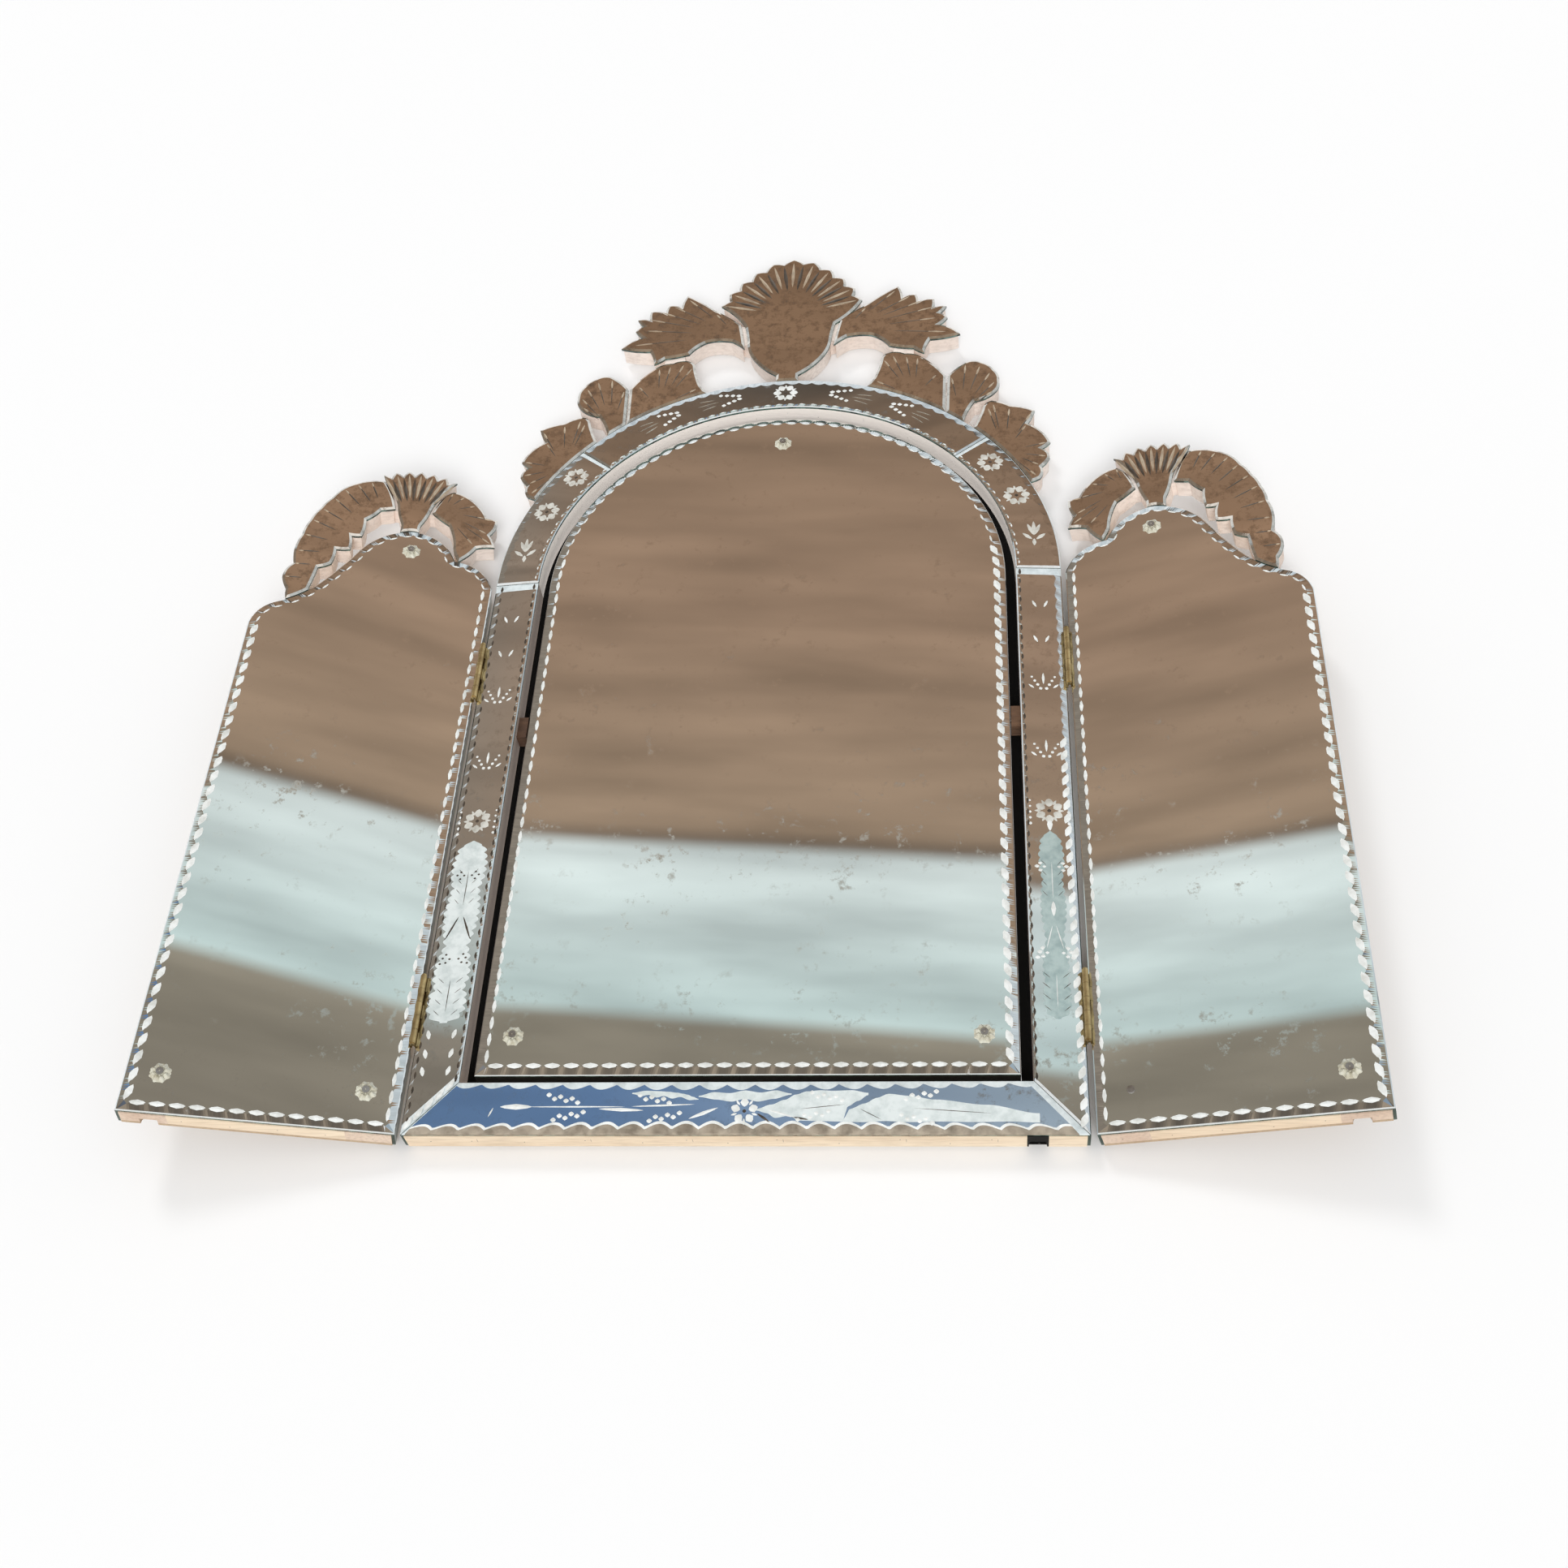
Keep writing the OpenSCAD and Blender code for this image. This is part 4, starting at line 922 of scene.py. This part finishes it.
# The arch has a flower at its crown, dotted sprays beside it, and two flowers and a tuft per haunch
flower(white, 0.0, 0.9465, 0.0155, 0)
for sign in (-1, 1):
    for turn in (79, 63.9):
        start = 90 - sign * (90 - turn)
        for way in (-1, 1):
            for k in range(4):
                spot = on_arch(start - sign * k * 1.35, 0.2875 + way * (0.0028 + 0.0022 * k))
                mark(white, *spot, 0, 0.0074 - 0.0004 * k, 0.006)
        for way in (-1, 0, 1):
            angle = start - sign * 7.6
            mark(clear, *on_arch(angle, 0.286 + way * 0.0065), angle - 90 + way * sign * 9,
                 0.03 - 0.008 * abs(way), 0.0022)
    for turn in (34, 22):
        flower(pale, *on_arch(90 - sign * (90 - turn), 0.2865), 0.0162, 10)
    for bend, length, lift in ((-22, 0.021, 0.006), (0, 0.023, 0.0085), (22, 0.021, 0.006),
                               (-50, 0.016, -0.004), (50, 0.016, -0.004), (0, 0.012, -0.0125)):
        x = sign * 0.283 + 0.0095 * math.sin(math.radians(bend))
        mark(pale, x, 0.709 + lift, 90 - bend, length, 0.0056)

# Frosted leaves.
# Large leaves ground all over, with lobed edges: two down each side strip, and broad ones along the
# right half of the bottom strip. Each is a skin laid on the glass between two edges.
leaf_frost = frosting("leaf_frost", (0.83, 0.89, 0.88), (0.62, 0.69, 0.68), 0.42, 0.2)
clear_leaf = frosting("clear_leaf", (0.52, 0.64, 0.63), (0.36, 0.47, 0.47), 0.2, 0.35)


def frosted(name, leaves, finish):
    """leaves are lists of rows, each row the two edge points (x, z) that lie across from each
    other."""
    points, faces = [], []
    proud, sunk = 0.00012, 0.0002
    for rows in leaves:
        base = len(points)
        for row in rows:
            for x, z in row:
                points += [(x, slope(x, z) - proud, z), (x, slope(x, z) + sunk, z)]
        for r in range(len(rows) - 1):
            a, b = base + 4 * r, base + 4 * r + 4
            faces += [(a, a + 2, b + 2, b), (a + 1, b + 1, b + 3, a + 3), (a, b, b + 1, a + 1),
                      (a + 2, a + 3, b + 3, b + 2)]
        last = base + 4 * len(rows) - 4
        faces += [(base, base + 1, base + 3, base + 2), (last, last + 2, last + 3, last + 1)]
    skin = new_object(name, points, faces, finish)
    face_outwards(skin)
    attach(skin, "centre_frame")


def along_edge(stops, count):
    """count points spread along a bent line of (a, b) stops, in mm, given back in metres."""
    start, whole = stops[0][0], stops[-1][0] - stops[0][0]
    line = []
    for n in range(count):
        at = n / (count - 1) * whole + start
        k = max(i for i in range(len(stops) - 1) if (at - stops[i][0]) * whole >= 0)
        (a, b), (c, d) = stops[k], stops[k + 1]
        share = (at - a) / (c - a)
        share = share * share * (3 - 2 * share)
        line.append((at / 1000, (b + (d - b) * share) / 1000))
    return line


half_width = [(318, 2), (311, 13), (305, 16), (290, 18.5), (275, 18), (262, 15), (250, 17),
              (235, 18.5), (222, 18), (208, 15.5), (196, 13), (186, 16), (172, 18.5), (160, 18.5),
              (150, 16), (140, 19.5), (128, 19.5), (118, 15), (113, 5)]
upright_leaves = []
for sign, fullness, tooth in ((-1, 1.0, 0.0036), (1, 0.68, 0.002)):
    rows = []
    for z, half in along_edge(half_width, 260):
        toothed = half * fullness - tooth * (1 - abs(math.sin(math.pi * z / 0.0082)))
        rows.append([(sign * middle + way * max(toothed, 0.0004), z) for way in (-1, 1)])
    upright_leaves.append(rows)
leaves = [upright_leaves[0]]
for lower, upper in (
        ([(15, 23), (24, 20.5), (32, 16), (44, 18), (54, 13.5), (72, 13), (92, 12.5), (97, 27),
          (106, 32), (115, 37.5)],
         [(15, 24.5), (28, 28.5), (40, 33), (50, 38), (60, 41), (72, 42), (84, 41.5), (100, 42),
          (115, 39.5)]),
        ([(92, 12.2), (110, 12), (130, 13), (150, 12), (180, 12.5), (210, 12), (240, 12.5),
          (266, 11.5)],
         [(92, 13), (99, 24.5), (112, 29.5), (122, 34.5), (133, 38.5), (152, 36.5), (174, 33),
          (220, 28), (266, 20)]),
        ([(-38, 36), (-22, 33.5), (-8, 31.5), (4, 34), (16, 31.5), (30, 34), (46, 38)],
         [(-38, 37), (-24, 40.5), (-10, 39.5), (4, 42), (18, 40), (32, 42), (46, 39)]),
        ([(-99, 39), (-90, 37), (-84, 38), (-76, 35.5), (-70, 37), (-62, 34.5), (-55, 36),
          (-46, 33), (-38, 33.5)],
         [(-99, 40), (-86, 42), (-74, 41.5), (-66, 41), (-58, 40), (-52, 39), (-48, 38),
          (-43, 36), (-38, 34)])):
    leaves.append(list(zip(along_edge(lower, 60), along_edge(upper, 60))))
frosted("strip_leaves", leaves, leaf_frost)
frosted("strip_leaf_right", upright_leaves[1:], clear_leaf)
for label, cuts, finish, pointed in (
        ("white", white, frost_and_highlight_cut, 0.5), ("pale", pale, pale_cut, 0.5),
        ("clear", clear, polished_cut, 0.35), ("dark", dark, dark_cut, 0.35)):
    lens_piece(f"strip_{label}_cuts", cuts, finish, "centre_frame", 8, pointed)

# Ribs and veins of the crests.
# Dark flutes between tan ribs round the shells, a midrib down each leaf and short veins to its
# points, cut with the edge of the wheel. The dark of the flutes and veins is painted shade, and
# the tan of the ribs and of the veins' ends by the points is painted highlight.
rib_highlight_cut = frosting("rib_highlight_cut", (0.62, 0.5, 0.36), (0.4, 0.3, 0.21), 0.3, 0.5)


def vein(start, tip, width, near, rise=0.0008):
    """A cut along the line from start to tip, from the share near of it to the share far."""
    far = 0.96
    a, b = Vector(start), Vector(tip)
    way = (b - a).normalized()
    spot = a.lerp(b, (near + far) / 2)
    return ((spot.x, glass_front, spot.y), (way.x, 0, way.y), facing,
            (b - a).length * (far - near), width, rise)


def on_panel(points, corner=(0, 0), turn=0.0, sign=1):
    """Points in mm from a corner, turned clockwise by turn, as places in metres."""
    c, s = math.cos(turn), math.sin(turn)
    return [(sign * (corner[0] + (u * c + w * s) / 1000), corner[1] + (w * c - u * s) / 1000)
            for u, w in points]


def shell_cuts(centre, ribs, step, reach, rise=0.0):
    """The flutes and the ribs of a shell."""
    flutes, ridges = [], []
    for k in range(-2 * ribs, 2 * ribs + 1):
        a = math.radians(k * step / 2)
        notch = k % 2 == 1
        far = reach + rise * math.cos(a)**8 - (0.0055 if notch else 0.001)
        tip = (centre[0] + far * math.sin(a), centre[1] + far * math.cos(a))
        if notch:
            flutes.append(vein(centre, tip, 0.06 * reach, 0.43))
        else:
            ridges.append(vein(centre, tip, 0.05 * reach, 0.47, 0.001))
    return flutes, ridges


def crest_cuts(name, body, flutes, ridges):
    # Dark cuts as painted shade, tan cuts as painted highlight
    lens_piece(f"{name}_flutes", flutes, dark_cut, body)
    lens_piece(f"{name}_ribs", ridges, rib_highlight_cut, body)


flutes, ridges = shell_cuts((0, 1.085), 5, 15, 0.09, 0.015)
# For each leaf: how far along the arch its corner lies, its foot and the tips of its points
for along_arch, *veins in (
        (0, (66, 84), (196, 72), (183, 99), (180, 120), (165, 133), (150, 143), (131, 155),
         (93, 124)),
        (0.162, (-5, 2), (-60, 5), (-72, 42), (-66, 54), (-50, 60), (-36, 64), (0, 48)),
        (0.162, (58, 0), (20, 80), (37, 86), (54, 81), (67, 69), (72, 53), (16, 52)),
        (0.298, (0, 0), (-72, 28), (-74, 37), (-56, 48), (-33, 63), (-20, 46), (18, 48), (36, 34),
         (42, 19), (54, 6))):
    turn = along_arch / frame_half
    corner = (frame_half * math.sin(turn), spring_z + frame_half * math.cos(turn))
    for sign in (-1, 1):
        start, *ends = on_panel(veins, corner, turn, sign)
        for tip in ends:
            flutes.append(vein(start, tip, 0.0018, 0.4, 0.0005))
            # The tan outer part of each vein is a painted glint at the leaf's point
            ridges.append(vein(start, tip, 0.0028, 0.74, 0.0007))
crest_cuts("crest", "centre_frame", flutes, ridges)
# On the wings, the inner leaf's foot and tips, then pairs of a foot and a tip for the outer leaf
dome = (0.098, 0.727)
start, *ends = on_panel([(-28, 34), (-70, -13), (-90, -9), (-84, 6), (-89, 28), (-78, 30),
                         (-65, 48), (-50, 60), (-36, 64)], dome)
outer = on_panel([(44, 38), (58, 68), (50, 32), (73, 62), (60, 25), (86, 52), (66, 12), (95, 37),
                  (72, 0), (105, 19), (78, -14), (113, 1), (84, -28), (118, -22), (90, -45),
                  (121, -47), (98, -65), (120, -66), (104, -85), (127, -86)], dome)
for wing in wings:
    flutes, ridges = shell_cuts((0.102, 0.735), 3, 10, 0.084)
    flutes += [vein(start, tip, 0.0016, 0.4, 0.0005) for tip in ends]
    # The tan outer parts of the veins are painted glints at the leaves' points
    ridges += [vein(start, tip, 0.0024, 0.76, 0.0007) for tip in ends]
    flutes += [vein(foot, tip, 0.0022, 0.1, 0.0006) for foot, tip in zip(outer[::2], outer[1::2])]
    ridges += [vein(foot, tip, 0.0024, 0.7, 0.0007) for foot, tip in zip(outer[::2], outer[1::2])]
    crest_cuts(wing, wing, flutes, ridges)

# Rosettes.
# Pressed cream glass flowers, eight petals round a boss, over the screws that hold the plates. The
# right wing has lost one.
cream = Finish("cream_glass")
streaky = cream.ramp(cream.noise(160.0, 3.0), (0.35, 0), (0.7, 1))
cream_glass = cream.shade(
    ("Base Color", cream.mix(streaky, (0.7, 0.69, 0.58), (0.5, 0.46, 0.34))),
    ("Roughness", 0.2), ("Coat Weight", 0.5), ("Coat Roughness", 0.1))


def rosettes(name, spots, front, body):
    ring_r, parts = 0.0058, []
    for x, z in spots:
        parts += [((x, front, z), (1, 0, 0), facing, size, size, rise)
                  for size, rise in ((0.02, 0.003), (0.009, 0.006))]
        for k in range(8):
            across, climb = heading(22.5 + 45 * k)
            parts.append(((x + ring_r * across, front, z + ring_r * climb), (across, 0, climb),
                          facing, 0.0094, 0.007, 0.0046))
    piece = lens_piece(f"{name}_flowers", parts, cream_glass, body, 14, 0.3)
    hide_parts(f"{name}_rosettes")


rosettes("swing", [(-0.219, 0.102), (0.219, 0.102), (0, 0.869)], plate_front, "swing_mirror")
wing_spots = [(0.032, 0.04), (0.218, 0.04), (0.095, 0.696)]
rosettes("wing_right", wing_spots[1:], glass_front, "wing_right")
rosettes("wing_left", wing_spots, glass_front, "wing_left")

# Nails.
# Small dark heads of the nails that hold the strips' battens, with short cracks from them, under
# the foot of each panel and round the inside of the arch.
rust = frosting("nail_rust", (0.07, 0.05, 0.04), (0.02, 0.016, 0.014), 0.6, 0.3)
under, sideways, backwards = Vector((0, 0, -1)), (1, 0, 0), (0, 1, 0)
nails = []
for k in range(13):
    x = -0.284 + 0.0465 * k + 0.009 * math.sin(5.1 * k)
    nails.append(((x, 0.004 * math.sin(3.3 * k), 0), sideways, under, 0.0024, 0.0024, 0.0002))
    if k % 2:
        nails.append(((x + 0.0055, -0.002, 0), backwards, under, 0.015, 0.0007, 0.0002))
for k in range(17):
    x, z = on_arch(8 + 10.2 * k + 2.2 * math.sin(4.7 * k), inner_half)
    inward = Vector((-x, 0, spring_z - z)).normalized()
    size = (0.0022, 0.0022) if k % 3 else (0.014, 0.0006)
    nails.append(((x, -0.0035 + 0.003 * math.sin(2.9 * k), z), backwards, inward, *size, 0.0002))
lens_piece("frame_nails", nails, rust, "centre_frame")
for wing in wings:
    nails = [((0.02 + 0.043 * k, 0.003 * math.sin(3 * k), 0), sideways, under, 0.0022, 0.0022,
              0.0002) for k in range(5)]
    lens_piece(f"{wing}_nails", nails, rust, wing)

# Strips on the outer sides.
# Narrow dark green mirror set on edge down the sides of the frame and of each wing.
side_strip = silvered("side_mirror", (0.1, 0.14, 0.115), (0.03, 0.04, 0.034), 0.3, 0.9)
wear(side_strip, "frame_side_glass", "wing_left_side_glass", "wing_right_side_glass")
